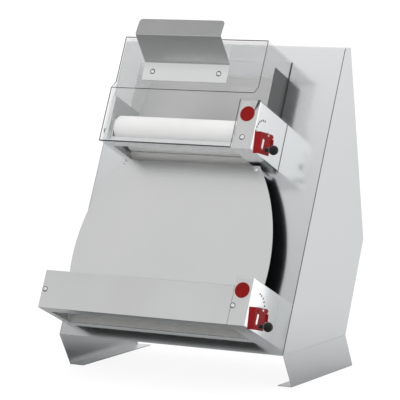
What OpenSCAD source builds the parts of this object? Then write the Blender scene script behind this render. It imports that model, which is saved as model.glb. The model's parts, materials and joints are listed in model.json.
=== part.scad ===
// Bench dough sheeter: a leaning sheet-steel casing with two pairs of motor-driven rollers.
// Millimetres, +Z up, origin on the bench under the middle of the machine.
// Most pieces are drawn in the front frame: x to the right, d straight out from the
// leaning front face, s up along it from the fold above the legs.

/* [Casing] */
// Width over both side panels
casing_w = 525; // [480:1:640]
// Length of the leaning front face
front_slant = 656; // [640:1:760]
// Angle between the front face and the vertical
lean = 24.8; // [20:0.1:30]
// Height of the legs below the fold
leg_h = 70; // [50:1:110]
// Depth of the casing at the fold
base_depth = 280; // [250:1:340]
// Deepest point of the casing
knee_depth = 363; // [340:1:420]
// Height of the deepest point
knee_h = 262; // [220:1:320]
// Flat strip on top of the casing
top_strip = 21; // [12:1:40]
// Sheet thickness of casing, covers and base sheets
sheet = 1.5; // [1:0.1:2.5]
// Set-back of the leg's front corner at the bench
leg_front_set = 40; // [20:1:70]
// Run-out of the leg's rear corner at the bench
leg_rear_set = 37; // [15:1:60]
// Width of the flange that each leg stands on
foot_w = 32; // [20:1:50]
// Width of the inner flanges that the rear cover is screwed to
return_w = 18; // [12:1:30]

/* [Upper unit] */
// Right face of the upper unit inside the casing's right face
upper_right_in = 97.5; // [65:0.5:110]
// How much narrower the upper unit is than the casing
upper_narrower = 178; // [165:1:205]
// Width of the upper drive housing
upper_block_w = 45; // [42:1:60]
// Height of the upper roller axes along the front face
upper_axis_s = 425; // [415:1:450]
// Radius of the upper rollers
upper_roller_r = 27.5; // [22:0.5:30]
// Air between the casing and the back of the upper rear roller
upper_back = 9.9; // [6:0.1:15]
// Unit bottom below the upper rollers
upper_below = 13.5; // [10:0.5:20]
// Housing top above the upper rollers
upper_above = 32.5; // [28:0.5:45]
// Lever axis in front of the upper roller axis
upper_lever_ahead = 2; // [0:0.5:3]

/* [Lower unit] */
// Right face of the lower unit inside the casing's right face
lower_right_in = 34.5; // [28:0.5:60]
// How much narrower the lower unit is than the casing
lower_narrower = 45; // [40:1:85]
// Width of the lower drive housing
lower_block_w = 40; // [38.5:0.5:55]
// Height of the lower roller axes along the front face
lower_axis_s = 67; // [60:1:90]
// Radius of the lower rollers
lower_roller_r = 25.5; // [20:0.5:28]
// Air between the casing and the back of the lower rear roller
lower_back = 5.4; // [4:0.1:12]
// Unit bottom below the lower rollers
lower_below = 17.5; // [12:0.5:25]
// Housing top above the lower rollers
lower_above = 30; // [28:0.5:45]
// Lever axis in front of the lower roller axis
lower_lever_ahead = 1.5; // [0:0.5:8]
// Front cover top above the lower rollers
cover_above = 11.5; // [5:0.5:20]

/* [Rollers and adjustment] */
// Gap between a pair of rollers when closed
nip = 0.6; // [0.4:0.1:2]
// Travel of each front roller
adjust = 3.5; // [2:0.1:4]
// Radius of the roller journals and shafts
journal_r = 8; // [6:0.5:10]
// Room between a roller's end and the side plates
end_gap = 6; // [5:0.5:10]
// Thickness of the side plates that hold the rollers
plate_t = 8; // [6:0.5:10]
// Outer radius of the roller bearings
bearing_r = 13; // [12:0.5:16]
// Room in front of the upper front roller at full gap
upper_room = 3; // [2.6:0.1:8]
// Room in front of the lower front roller at full gap
lower_room = 5.5; // [2.6:0.1:8]
// Teeth on each roller gear
gear_teeth = 20; // [16:1:26]
// Width of the roller gears
gear_w = 10; // [6:0.5:10]
// Tooth height above the pitch circle
tooth_rise = 2.2; // [1.8:0.1:2.4]
// Angle that each lever can turn
lever_range = 180; // [90:15:180]
// Radius of the lower index hole circle around its lever axis
lower_index_r = 32.5; // [29:0.5:36]
// Radius of the upper index hole circle around its lever axis
upper_index_r = 30; // [29:0.5:30]
// Angle between index holes
index_step = 15; // [15:15:45]

/* [Levers] */
// Lever fold in front of its axis
lever_front = 34; // [30:1:38]
// Lever plate behind its axis
lever_rear = 18; // [12:1:20]
// Lever plate above its axis
lever_top = 4; // [0:1:8]
// Lever plate below its axis
lever_low = 40; // [38:1:46]
// Lever plate outside the housing side
lever_stand = 14; // [12:1:18]
// Tilt of the lever plate at rest
lever_tilt = 12; // [0:1:20]
// Thickness of the lever sheet
lever_t = 2; // [1.5:0.1:3]
// Radius of the lever's stub shaft
stub_r = 7; // [5:0.5:8]
// Radius of the knob ball
knob_r = 10; // [8:0.5:12]
// Knob centre outside the lever plate
knob_out = 18; // [16:1:24]
// Radius of the knob's plunger
plunger_r = 2.5; // [2:0.1:3]

/* [Guard and chute] */
// Thickness of the clear guard
guard_t = 3; // [2:0.5:4]
// Room between the upper front roller at full gap and the guard
guard_room = 5; // [3:0.5:10]
// Left end of the guard beyond the upper unit
guard_left_over = 8; // [6:1:14]
// Right end of the guard's upper part inside the unit's right face
guard_right_in = 18; // [14:1:24]
// Height of the guard's top along the front face
guard_top = 621; // [600:1:640]
// Height of the guard's step along the front face
ledge_s = 502; // [496:1:515]
// Rise of the step
ledge_rise = 17.5; // [12:0.5:25]
// Set-back of the guard's upper front
ledge_in = 13; // [8:0.5:18]
// Width of the feed chute
chute_w = 200; // [150:1:230]
// Left end of the feed chute, left of the middle
chute_left = 128; // [110:1:140]
// Height of the chute flange's lower edge along the front face
chute_s = 525; // [522:1:530]
// Height of the chute flange
chute_flange = 39; // [30:1:42]
// Rise of the chute's tray
chute_rise = 39; // [30:1:50]
// Reach of the chute's tray
chute_reach = 62; // [50:1:75]
// Length of the chute's lip
chute_lip = 35; // [25:1:45]
// Corner radius of the chute's lip
chute_corner = 8; // [4:1:12]
// Height of the feed mouth above the chute flange
mouth_h = 46; // [36:1:48]

/* [Slide plate] */
// Front of the slide plate from the casing
slide_d = 36; // [30:1:42]
// Middle of the slide plate, left of the middle
slide_left = 21; // [15:1:30]
// Widest points of the slide plate inside the casing's sides, before it is set to the left
slide_side_in = 32.5; // [30:0.5:52]
// Height of the widest point along the front face
slide_wide_s = 166; // [150:1:190]
// Radius of the slide plate's side arcs
slide_arc_r = 372; // [340:1:420]
// Thickness of the slide plate
slide_t = 1.5; // [1:0.1:2]

/* [Drive] */
// Motor shaft height along the front face
motor_s = 140; // [130:1:150]
// Motor shaft behind the front face
motor_back = 130; // [120:1:140]
// Radius of the gear motor
motor_r = 52; // [45:1:56]
// Length of the gear motor
motor_l = 230; // [200:1:240]
// Layshaft height along the front face
lay_s = 430; // [424:1:434]
// Layshaft behind the front face
lay_back = 62; // [56:1:70]
// Radius of the motor pulleys
motor_pulley_r = 20; // [18:1:22]
// Radius of the layshaft pulleys
lay_pulley_r = 20; // [18:1:22]
// Radius of the pulleys on the rear rollers
roller_pulley_r = 20; // [18:1:22]
// Width of the pulleys over their flanges
pulley_w = 12; // [10:0.5:12]
// Thickness of the belts
belt_t = 3; // [2:0.5:3.5]

/* [Controls] */
// Height of the switch plate on the left side panel
switch_h = 90; // [80:1:110]
// Width of the switch plate
switch_w = 56; // [50:1:80]
// Radius of the push buttons
button_r = 10; // [8:0.5:12]
// How far the buttons stand out
button_out = 6; // [5:0.5:8]
// Travel of the buttons
button_travel = 3; // [2:0.5:4]

/* [Fits] */
// Radial clearance of turning shafts
run_gap = 0.05; // [0.02:0.01:0.1]
// Clearance of sliding blocks, buttons and plungers
slide_gap = 0.3; // [0.25:0.05:0.4]
// Clearance between pieces that pass each other
pass_gap = 0.5; // [0.4:0.1:1]
// Narrow seam between neighbouring sheets
seam = 0.6; // [0.4:0.1:1]

/* [Hidden] */

// Overrun of every cut
over = 1;
// Unit numbers: every list below holds the lower unit first
lo = 0;
up = 1;
lower_w = casing_w - lower_narrower;
upper_w = casing_w - upper_narrower;
right_x = [casing_w / 2 - lower_right_in, casing_w / 2 - upper_right_in];
left_x = [right_x[lo] - lower_w, right_x[up] - upper_w];
inner_x = [right_x[lo] - lower_block_w, right_x[up] - upper_block_w];
axis_s = [lower_axis_s, upper_axis_s];
roller_r = [lower_roller_r, upper_roller_r];
back_d = [lower_back, upper_back];
rear_d = back_d + roller_r;
front_d = [for (u = [lo, up]) rear_d[u] + 2 * roller_r[u] + nip];
unit_bottom = [lower_axis_s - lower_roller_r - lower_below, upper_axis_s - upper_roller_r - upper_below];
unit_top = [lower_axis_s + lower_roller_r + lower_above, upper_axis_s + upper_roller_r + upper_above];
pitch_r = [for (u = [lo, up]) roller_r[u] + nip / 2];
room = [lower_room, upper_room];
inside_d = [for (u = [lo, up]) front_d[u] + roller_r[u] + adjust + room[u]];
unit_d = [for (u = [lo, up]) inside_d[u] + sheet];
lever_d = [front_d[lo] + lower_lever_ahead, front_d[up] + upper_lever_ahead];
index_r = [lower_index_r, upper_index_r];
// The levers turn opposite ways, so that each index row lies on its own side
lever_turn = [1, -1];
cover_top = lower_axis_s + lower_roller_r + cover_above;

// Sizes of the pieces inside the drive housings, from the inner plate outwards
cheek_t = 3;
cheek_gap = 0.6;
gear_x = [for (u = [lo, up]) inner_x[u] + plate_t + cheek_gap + cheek_t + cheek_gap];
outer_x = [for (u = [lo, up]) gear_x[u] + gear_w + cheek_gap];
pulley_x = [for (u = [lo, up]) gear_x[u] + gear_w + cheek_gap];
cam_t = 4;
boss_t = 4;
cam_x = [for (u = [lo, up]) right_x[u] - sheet - boss_t - cheek_gap - cam_t];
cam_r = 19;
pin_r = 2;
pin_at = 12;
stud_r = 3;
boss_r = 11;
// Carrier blocks, arms and the bar that ties both ends of a front roller
block_d = 28;
block_s = 30;
arm_t = 3.5;
bar_w = 8;
bar_ahead = 19;
bar_drop = 1.5;
blade_gap = 0.6;
flange_rim = 3;
flange_t = 1.2;
belt_gap = 0.3;
belt_w = pulley_w - 2 * flange_t - 2 * belt_gap;
steps = 24;

// Button head screws
head_r = 5;
head_h = 2.6;
shank_r = 2.5;
shank_l = 10;
short_l = guard_t + sheet;
disc_r = 16;
disc_t = 0.8;

// Heights and depths of the casing
top_y = front_slant * sin(lean);
top_z = leg_h + front_slant * cos(lean);
front_reach = unit_d[lo] * cos(lean) - unit_bottom[lo] * sin(lean);
mid_y = (knee_depth - front_reach) / 2;
right_reach = max(casing_w / 2, right_x[lo] + lever_stand + knob_out + knob_r);
left_reach = casing_w / 2 + sheet + button_out;
mid_x = (right_reach - left_reach) / 2;
wall_x = casing_w / 2 - sheet;

function face_y(s, d) = s * sin(lean) - d * cos(lean);
function face_z(s, d) = leg_h + s * cos(lean) + d * sin(lean);
function turned(v) = [-v[1], v[0]];
function unit_of(v) = v / norm(v);
function arc_points(c, r, a, b, n) = [for (i = [0:n]) c + r * [cos(a + (b - a) * i / n),
    sin(a + (b - a) * i / n)]];

// A bent sheet: an open line of points and the same line set off by the thickness
function offset_point(p, i, t) =
    let (n = len(p),
         a = turned(unit_of(i > 0 ? p[i] - p[i - 1] : p[1] - p[0])),
         b = turned(unit_of(i < n - 1 ? p[i + 1] - p[i] : p[i] - p[i - 1])))
    p[i] + t * (a + b) / (1 + a * b);
function bent(p, t) = concat(p, [for (i = [len(p) - 1:-1:0]) offset_point(p, i, t)]);

// Frames and helpers
module in_casing() translate([-mid_x, -mid_y, 0]) children();
module on_front() in_casing() translate([0, 0, leg_h]) rotate([-lean, 0, 0]) children();
module at(x, d, s) translate([x, -d, s]) children();
module box(x, d, s, w, deep, tall) translate([x, -d - deep, s]) cube([w, deep, tall]);
module rod(x, d, s, r, l) at(x, d, s) rotate([0, 90, 0]) cylinder(r = r, h = l, $fn = 64);
module out_rod(x, d, s, r, l) at(x, d, s) rotate([90, 0, 0]) cylinder(r = r, h = l, $fn = 48);
// Extrudes an outline drawn in (d, s) to the right
module side_cut(x, w) translate([x, 0, 0]) rotate([90, 0, 90]) linear_extrude(w) mirror([1, 0]) children();
// Extrudes an outline drawn in (y, z) to the right
module casing_cut(x, w) translate([x, 0, 0]) rotate([90, 0, 90]) linear_extrude(w) children();
// Extrudes an outline drawn in (x, s) outwards
module face_cut(d, t) translate([0, -d, 0]) rotate([90, 0, 0]) linear_extrude(t) children();

// Casing
rear_line = [[top_y + top_strip, top_z], [knee_depth, knee_h], [base_depth, leg_h]];
// The rear cover starts just under the front panel's top strip
cover_start_share = (sheet + seam) / (top_z - knee_h);
cover_line = [rear_line[0] + cover_start_share * (rear_line[1] - rear_line[0]), rear_line[1], rear_line[2]];
rear_inner = [for (i = [0:2]) offset_point(cover_line, i, -sheet)];
side_points = concat([[0, leg_h], [top_y, top_z]], rear_line,
                     [[base_depth + leg_rear_set, 0], [leg_front_set, 0]]);
// Slots where the belts pass the front face
slot_air = 4;
slot_s = [axis_s[lo] + (motor_s - axis_s[lo]) * rear_d[lo] / (rear_d[lo] + motor_back),
          axis_s[up] + (lay_s - axis_s[up]) * rear_d[up] / (rear_d[up] + lay_back)];
slot_tilt = [atan2(motor_s - axis_s[lo], rear_d[lo] + motor_back), atan2(lay_s - axis_s[up],
    rear_d[up] + lay_back)];
slot_half = [for (u = [lo, up]) (roller_pulley_r + belt_gap + belt_t + slot_air) / cos(slot_tilt[u])];
// Small screws that hold the rear cover: places along its two faces as shares
small_head_r = 3.8;
small_head_h = 2.2;
small_shank_r = 2;
small_shank_l = 3 * sheet;
upper_screw_shares = [0.08, 0.5, 0.9];
lower_screw_shares = [0.15, 0.85];
vent_w = 45;
vent_h = 3.5;
vent_pitch = 11;
vents = 6;
vent_x = 95;
// Switch plate on the left side panel
switch_y = 245;
switch_z = 400;
switch_rim = 8;
switch_deep = 40;
button_apart = 40;
button_l = 2 * button_r;
// Cord gland low on the rear cover
gland_left = 150;
gland_share = 0.55;
gland_neck_r = 8;
gland_nut_r = 12;
gland_nut_t = 5;
gland_dome_h = 8;

// Draws on one face of the rear cover, s down the face and d out of it
module on_rear(i) {
    run = rear_line[i + 1] - rear_line[i];
    in_casing() translate([0, rear_line[i][0], rear_line[i][1]]) rotate([atan2(-run[0], run[1]), 0,
        0]) children();
}

module casing_screw_places() {
    for (side = [-1, 1]) {
        for (share = upper_screw_shares)
            on_rear(0) at(side * (wall_x - return_w / 2), 0,
                share * norm(rear_line[1] - rear_line[0])) children();
        for (share = lower_screw_shares)
            on_rear(1) at(side * (wall_x - return_w / 2), 0,
                share * norm(rear_line[2] - rear_line[1])) children();
    }
}

module front_panel() color([0.84, 0.84, 0.84]) difference() {
    in_casing() casing_cut(seam - wall_x, 2 * (wall_x - seam))
        polygon(bent([[0, leg_h], [top_y, top_z], [top_y + top_strip, top_z]], -sheet));
    on_front() {
        for (u = [lo, up])
            box(pulley_x[u] - slot_air / 2, -sheet - over, slot_s[u] - slot_half[u],
                pulley_w + slot_air, sheet + 2 * over, 2 * slot_half[u]);
    }
}

module side_panel() in_casing() casing_cut(wall_x, sheet) polygon(side_points);

module mirrored() in_casing() mirror([1, 0, 0]) translate([mid_x, mid_y, 0]) children();

module left_side_panel() color([0.8, 0.8, 0.8]) difference() {
    mirrored() side_panel();
    switch_body(over);
}

module right_side_panel() color([0.8, 0.8, 0.8]) side_panel();

// Folded edges of the right side panel: the foot, and the strips behind the rear cover and the front panel
module panel_flanges() {
    in_casing() translate([wall_x - foot_w, leg_front_set, 0])
        cube([foot_w, base_depth + leg_rear_set - leg_front_set, sheet]);
    in_casing() casing_cut(wall_x - return_w, return_w) polygon(bent(rear_inner, -sheet));
    on_front() box(wall_x - return_w, -2 * sheet, return_w, return_w, sheet, front_slant - 2 * return_w);
}

module side_flanges() color([0.78, 0.78, 0.78]) difference() {
    union() {
        panel_flanges();
        mirrored() panel_flanges();
    }
    casing_screw_places() rotate([90, 0, 0]) cylinder(r = small_shank_r, h = 2 * small_shank_l,
        center = true, $fn = 24);
}

module rear_cover() color([0.78, 0.78, 0.79]) difference() {
    in_casing() casing_cut(-wall_x, 2 * wall_x) polygon(bent(cover_line, -sheet));
    casing_screw_places() rotate([90, 0, 0]) cylinder(r = small_shank_r, h = 2 * small_shank_l,
        center = true, $fn = 24);
    for (i = [0:vents - 1]) {
        for (side = [-1, 1])
            on_rear(0) box(side * vent_x - vent_w / 2, -sheet - over,
                norm(rear_line[1] - rear_line[0]) / 2 + i * vent_pitch, vent_w, sheet + 2 * over, vent_h);
    }
    on_gland() out_rod(0, -sheet - over, 0, gland_neck_r, sheet + 2 * over);
}

module base_plate() color([0.72, 0.72, 0.73]) difference() {
    in_casing() translate([-wall_x, 3 * sheet, leg_h]) cube([2 * wall_x, base_depth - 6 * sheet, sheet]);
    for (i = [0:vents - 1]) {
        for (side = [-1, 1])
            in_casing() translate([side * vent_x - vent_w / 2, base_depth / 2 + i * vent_pitch, leg_h - over])
                cube([vent_w, vent_h, sheet + 2 * over]);
    }
}

module casing_screws() color([0.7, 0.7, 0.7]) casing_screw_places() {
    rotate([90, 0, 0]) cylinder(r = small_head_r, h = small_head_h, $fn = 32);
    rotate([-90, 0, 0]) cylinder(r = small_shank_r, h = small_shank_l, $fn = 24);
}

module on_gland() on_rear(1) at(-gland_left, 0, gland_share * norm(rear_line[2] - rear_line[1])) children();

module cord_gland() color([0.12, 0.12, 0.12]) on_gland() {
    out_rod(0, 0, 0, gland_nut_r, gland_nut_t);
    out_rod(0, gland_nut_t, 0, gland_nut_r - sheet, gland_dome_h);
    out_rod(0, -sheet, 0, gland_neck_r, sheet);
    out_rod(0, -sheet - gland_nut_t, 0, gland_nut_r, gland_nut_t);
}

module switch_body(grow) in_casing()
    translate([-casing_w / 2 - grow, switch_y - switch_w / 2 + switch_rim,
        switch_z - switch_h / 2 + switch_rim])
        cube([switch_deep + grow, switch_w - 2 * switch_rim, switch_h - 2 * switch_rim]);

module on_buttons() in_casing() for (side = [-1, 1])
    translate([-casing_w / 2 - sheet, switch_y, switch_z + side * button_apart / 2]) rotate([0, 90,
        0]) children();

module switch_box() color([0.16, 0.16, 0.17]) difference() {
    union() {
        in_casing() translate([-casing_w / 2 - sheet, switch_y - switch_w / 2, switch_z - switch_h / 2])
            cube([sheet, switch_w, switch_h]);
        switch_body(0);
    }
    on_buttons() translate([0, 0, -over])
        cylinder(r = button_r + slide_gap, h = button_l + button_travel + 2 * over, $fn = 48);
}

module button(place) in_casing()
    translate([-casing_w / 2 - sheet - button_out, switch_y, switch_z + place * button_apart / 2]) rotate([0,
        90, 0])
        cylinder(r = button_r, h = button_l + button_out, $fn = 48);

module start_button() color([0.1, 0.5, 0.2]) button(1);
module stop_button() color([0.7, 0.1, 0.1]) button(-1);

// Drive inside the casing
lay_block_w = 18;
transfer_x = pulley_x[up] + pulley_w + 2 * cheek_gap + lay_block_w;
bracket_t = 5;
motor_end = transfer_x - pass_gap - bracket_t;
motor_at = [-motor_back, motor_s];
lay_at = [-lay_back, lay_s];
rear_at = [for (u = [lo, up]) [rear_d[u], axis_s[u]]];
motor_y = face_y(motor_s, -motor_back);
motor_z = face_z(motor_s, -motor_back);
shaft_in = 30;
bracket_half = 45;
lay_wall = 8;
bracket_foot = 80;

module motor_body() color([0.25, 0.27, 0.3]) difference() {
    on_front() rod(motor_end - motor_l, -motor_back, motor_s, motor_r, motor_l);
    motor_fins();
    on_front() rod(motor_end - shaft_in, -motor_back, motor_s, journal_r + run_gap, shaft_in + over);
}

// Cooling grooves round the motor's rear half
fin_w = 4;
fin_deep = 5;
fins = 12;
module motor_fins() on_front() for (i = [0:fins - 1])
    difference() {
        rod(motor_end - motor_l + (2 * i + 1) * fin_w, -motor_back, motor_s, motor_r + over, fin_w);
        rod(motor_end - motor_l + (2 * i + 1) * fin_w - over, -motor_back, motor_s, motor_r - fin_deep,
            fin_w + 2 * over);
    }

module motor_bracket() difference() {
    in_casing() {
        translate([motor_end, motor_y - bracket_half, leg_h + sheet])
            cube([bracket_t, 2 * bracket_half, motor_z + bracket_half - leg_h - sheet]);
        translate([motor_end - bracket_foot, motor_y - bracket_half, leg_h + sheet])
            cube([bracket_foot, 2 * bracket_half, bracket_t]);
    }
    on_front() rod(motor_end - over, -motor_back, motor_s, journal_r + slide_gap, bracket_t + 2 * over);
}

module layshaft_bracket() on_front() difference() {
    union() {
        box(transfer_x - cheek_gap - lay_block_w, -lay_back - journal_r - lay_wall,
            lay_s - journal_r - lay_wall,
            lay_block_w, lay_back + journal_r + lay_wall - sheet, 2 * (journal_r + lay_wall));
        box(transfer_x - cheek_gap - lay_block_w, -sheet - bracket_t, lay_s - 2 * (journal_r + lay_wall),
            lay_block_w + 2 * lay_wall, bracket_t, 4 * (journal_r + lay_wall));
    }
    rod(transfer_x - cheek_gap - lay_block_w - over, -lay_back, lay_s, journal_r + run_gap,
        lay_block_w + 2 * over);
}

module drive_brackets() color([0.55, 0.56, 0.58]) {
    motor_bracket();
    layshaft_bracket();
}

// Outline of a belt round two wheels, each given as a centre and a radius
function belt_line(p, rp, q, rq) =
    let (run = q - p, aim = atan2(run[1], run[0]), open = acos((rp - rq) / norm(run)))
    concat(arc_points(p, rp, aim + open, aim + 360 - open, steps), arc_points(q, rq, aim - open, aim + open,
        steps));

module belt(x, p, rp, q, rq) on_front() side_cut(x + (pulley_w - belt_w) / 2, belt_w) difference() {
    polygon(belt_line(p, rp + belt_gap + belt_t, q, rq + belt_gap + belt_t));
    polygon(belt_line(p, rp + belt_gap, q, rq + belt_gap));
}

module lower_belt() color([0.1, 0.1, 0.1]) belt(pulley_x[lo], motor_at, motor_pulley_r, rear_at[lo],
    roller_pulley_r);
module transfer_belt() color([0.1, 0.1, 0.1]) belt(transfer_x, motor_at, motor_pulley_r, lay_at, lay_pulley_r);
module upper_belt() color([0.1, 0.1, 0.1]) belt(pulley_x[up], lay_at, lay_pulley_r, rear_at[up],
    roller_pulley_r);

module pulley(x, p, r) on_front() difference() {
    union() {
        rod(x, p[0], p[1], r, pulley_w);
        rod(x, p[0], p[1], r + flange_rim, flange_t);
        rod(x + pulley_w - flange_t, p[0], p[1], r + flange_rim, flange_t);
    }
    rod(x - over, p[0], p[1], journal_r, pulley_w + 2 * over);
}

module motor_shaft() color([0.7, 0.7, 0.72]) on_front()
    rod(motor_end - shaft_in + pass_gap, -motor_back, motor_s, journal_r,
        pulley_x[lo] + pulley_w - motor_end + shaft_in);
module motor_pulleys() color([0.45, 0.45, 0.47]) {
    pulley(transfer_x, motor_at, motor_pulley_r);
    pulley(pulley_x[lo], motor_at, motor_pulley_r);
}
module layshaft() color([0.7, 0.7, 0.72]) on_front()
    rod(pulley_x[up], -lay_back, lay_s, journal_r, transfer_x + pulley_w - pulley_x[up]);
module layshaft_pulleys() color([0.45, 0.45, 0.47]) {
    pulley(transfer_x, lay_at, lay_pulley_r);
    pulley(pulley_x[up], lay_at, lay_pulley_r);
}

// Pieces that both roller units share; u picks the unit
cover_air = 2.5;
left_plate_x = [left_x[lo] + sheet + cover_air, left_x[up]];
strip_w = [31, 25];
rear_strip = [12, 16];
wedge_foot = 7;
wedge_turn = 115;
blade_turn = 70;
lip_h = 4;
bar_s = [for (u = [lo, up]) axis_s[u] - roller_r[u] - bar_drop];
index_hole_r = 1.6;
stud_at = [for (u = [lo, up]) pitch_r[u] + tooth_rise + stud_r + cheek_gap];

module roller_slot(u, x) box(x - over, front_d[u] - block_d / 2 - slide_gap,
    axis_s[u] - block_s / 2 - slide_gap,
    plate_t + 2 * over, block_d + adjust + 2 * slide_gap, block_s + 2 * slide_gap);

// A side plate with the rear bearing's bore and the slot for the front roller's block
module end_plate(u, x, deep, top) on_front() difference() {
    box(x, 0, unit_bottom[u] + sheet, plate_t, deep, top - unit_bottom[u] - sheet);
    rod(x - over, rear_d[u], axis_s[u], bearing_r, plate_t + 2 * over);
    roller_slot(u, x);
    front_fixings();
}

module upper_left_plate() color([0.75, 0.75, 0.76]) difference() {
    union() {
        end_plate(up, left_plate_x[up], unit_d[up], unit_top[up]);
        on_front() for (d = guard_bolt_d) rod(guard_x + guard_t, d, guard_bolt_s, boss_r / 2,
            left_x[up] - guard_x - guard_t);
    }
    on_front() side_fixings();
}
module upper_inner_plate() color([0.75, 0.75, 0.76]) end_plate(up, inner_x[up], inside_d[up],
    unit_top[up] - sheet);
module lower_left_plate() color([0.75, 0.75, 0.76]) end_plate(lo, left_plate_x[lo], inside_d[lo],
    cover_top - sheet);
module lower_inner_plate() color([0.75, 0.75, 0.76]) end_plate(lo, inner_x[lo], inside_d[lo],
    unit_top[lo] - sheet);

function index_place(u, a) = [lever_d[u], axis_s[u]] + index_r[u] * [-lever_turn[u] * sin(a), -cos(a)];

module drive_cover(u) on_front() difference() {
    union() {
        box(inner_x[u], inside_d[u], unit_bottom[u], right_x[u] - inner_x[u], sheet,
            unit_top[u] - unit_bottom[u]);
        box(right_x[u] - sheet, 0, unit_bottom[u], sheet, inside_d[u] + sheet, unit_top[u] - unit_bottom[u]);
        box(inner_x[u], 0, unit_top[u] - sheet, right_x[u] - inner_x[u], inside_d[u], sheet);
        rod(right_x[u] - sheet - boss_t, lever_d[u], axis_s[u], boss_r, boss_t + sheet);
    }
    rod(right_x[u] - sheet - boss_t - over, lever_d[u], axis_s[u], stub_r + run_gap, boss_t + sheet + 2 * over);
    for (a = [0:index_step:lever_range]) let (p = index_place(u, a))
        rod(right_x[u] - sheet - over, p[0], p[1], index_hole_r, sheet + 2 * over);
    front_fixings();
}

module upper_drive_cover() color([0.86, 0.86, 0.86]) drive_cover(up);
module lower_drive_cover() color([0.86, 0.86, 0.86]) drive_cover(lo);

module base_sheet(u, x, deep) on_front() {
    difference() {
        union() {
            box(x, 0, unit_bottom[u], inner_x[u] - x, deep, sheet);
            box(inner_x[u], 0, unit_bottom[u], right_x[u] - sheet - inner_x[u], inside_d[u], sheet);
        }
        box(left_plate_x[u] + plate_t + cover_air, rear_strip[u], unit_bottom[u] - over,
            inner_x[u] - left_plate_x[u] - plate_t - 2 * cover_air, unit_d[u] - strip_w[u] - rear_strip[u],
            sheet + 2 * over);
    }
}

module upper_base() color([0.6, 0.6, 0.61]) {
    base_sheet(up, left_x[up], unit_d[up]);
    on_front() box(left_plate_x[up] + plate_t, unit_d[up] - sheet, unit_bottom[up] + sheet,
        inner_x[up] - left_plate_x[up] - plate_t, sheet, lip_h);
}
module lower_base() color([0.6, 0.6, 0.61]) base_sheet(lo, left_x[lo] + sheet, inside_d[lo]);

module lower_front_cover() color([0.76, 0.76, 0.76]) on_front() difference() {
    union() {
        box(left_x[lo], inside_d[lo], unit_bottom[lo], inner_x[lo] - seam - left_x[lo], sheet,
            cover_top - unit_bottom[lo]);
        box(left_x[lo], 0, unit_bottom[lo], sheet, inside_d[lo], cover_top - unit_bottom[lo]);
        box(left_x[lo] + sheet, inside_d[lo] - plate_t, cover_top - sheet,
            inner_x[lo] - seam - left_x[lo] - sheet, plate_t, sheet);
    }
    front_fixings();
}

module rear_roller_bearings() color([0.6, 0.6, 0.55]) on_front() for (u = [lo, up], x = [left_plate_x[u],
    inner_x[u]])
    difference() {
        rod(x, rear_d[u], axis_s[u], bearing_r, plate_t);
        rod(x - over, rear_d[u], axis_s[u], journal_r + run_gap, plate_t + 2 * over);
    }

// Wedge that keeps dough off a rear roller, standing on the rear strip of the base sheet
module rear_wedge(u) {
    tip = rear_at[u] - (roller_r[u] + blade_gap) * [sin(wedge_turn - 90), cos(wedge_turn - 90)];
    foot = [rear_strip[u], unit_bottom[u] + sheet];
    on_front() side_cut(left_plate_x[u] + plate_t, inner_x[u] - left_plate_x[u] - plate_t)
        polygon([foot - [wedge_foot, 0], foot, tip]);
}
module rear_scrapers() color([0.9, 0.9, 0.9]) {
    rear_wedge(lo);
    rear_wedge(up);
}

// Wedge on the tie bar that keeps dough off a front roller
module front_wedge(u) {
    tip = [front_d[u], axis_s[u]] + (roller_r[u] + blade_gap) * [cos(blade_turn), -sin(blade_turn)];
    heel = [front_d[u] + bar_ahead - bar_w / 2, bar_s[u] - bar_w / 2];
    on_front() side_cut(left_plate_x[u] + plate_t + end_gap,
        inner_x[u] - left_plate_x[u] - plate_t - 2 * end_gap)
        polygon([heel, tip, heel + [0, bar_w / 2]]);
}
module upper_front_scraper() color([0.9, 0.9, 0.9]) front_wedge(up);
module lower_front_scraper() color([0.9, 0.9, 0.9]) front_wedge(lo);

// Front roller carrier: a block in each side plate's slot, tied together under the roller,
// and an outer plate beyond the gear with the pin that runs in the lever's cam
block_rear = -block_d / 2;
cheek_half = 11;
groove_deep = 3;
module carrier_arm(u, x) box(x, front_d[u] + block_rear, bar_s[u] - bar_w / 2, arm_t,
    bar_ahead + bar_w / 2 - block_rear, axis_s[u] + block_s / 2 - bar_s[u] + bar_w / 2);

module roller_carrier(u) on_front() difference() {
    union() {
        box(left_plate_x[u], front_d[u] + block_rear, axis_s[u] - block_s / 2, plate_t + pass_gap, block_d,
            block_s);
        carrier_arm(u, left_plate_x[u] + plate_t + pass_gap);
        box(left_plate_x[u] + plate_t + pass_gap, front_d[u] + bar_ahead - bar_w / 2, bar_s[u] - bar_w / 2,
            inner_x[u] - left_plate_x[u] - plate_t - 2 * pass_gap, bar_w, bar_w);
        carrier_arm(u, inner_x[u] - pass_gap - arm_t);
        box(inner_x[u] - pass_gap, front_d[u] + block_rear, axis_s[u] - block_s / 2,
            pass_gap + plate_t + cheek_gap, block_d, block_s);
        for (x = [inner_x[u] + plate_t + cheek_gap, outer_x[u]])
            box(x, front_d[u] - cheek_half, axis_s[u] - stud_at[u] - stud_r - cheek_gap, cheek_t,
                2 * cheek_half,
                2 * (stud_at[u] + stud_r + cheek_gap));
        box(outer_x[u], front_d[u] - cheek_half, axis_s[u] - journal_r - cheek_gap, cheek_t,
            lever_d[u] - front_d[u] + cheek_half + pin_at + 2 * pin_r, 2 * (journal_r + cheek_gap));
        for (side = [-1, 1])
            rod(gear_x[u] - cheek_gap, front_d[u], axis_s[u] + side * stud_at[u], stud_r,
                outer_x[u] - gear_x[u] + cheek_gap);
        rod(outer_x[u] + cheek_t, lever_d[u] + pin_at, axis_s[u], pin_r,
            cam_x[u] - outer_x[u] - cheek_t + groove_deep - pass_gap);
    }
    rod(left_plate_x[u] - over, front_d[u], axis_s[u], journal_r + run_gap, right_x[u] - left_plate_x[u]);
}

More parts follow.
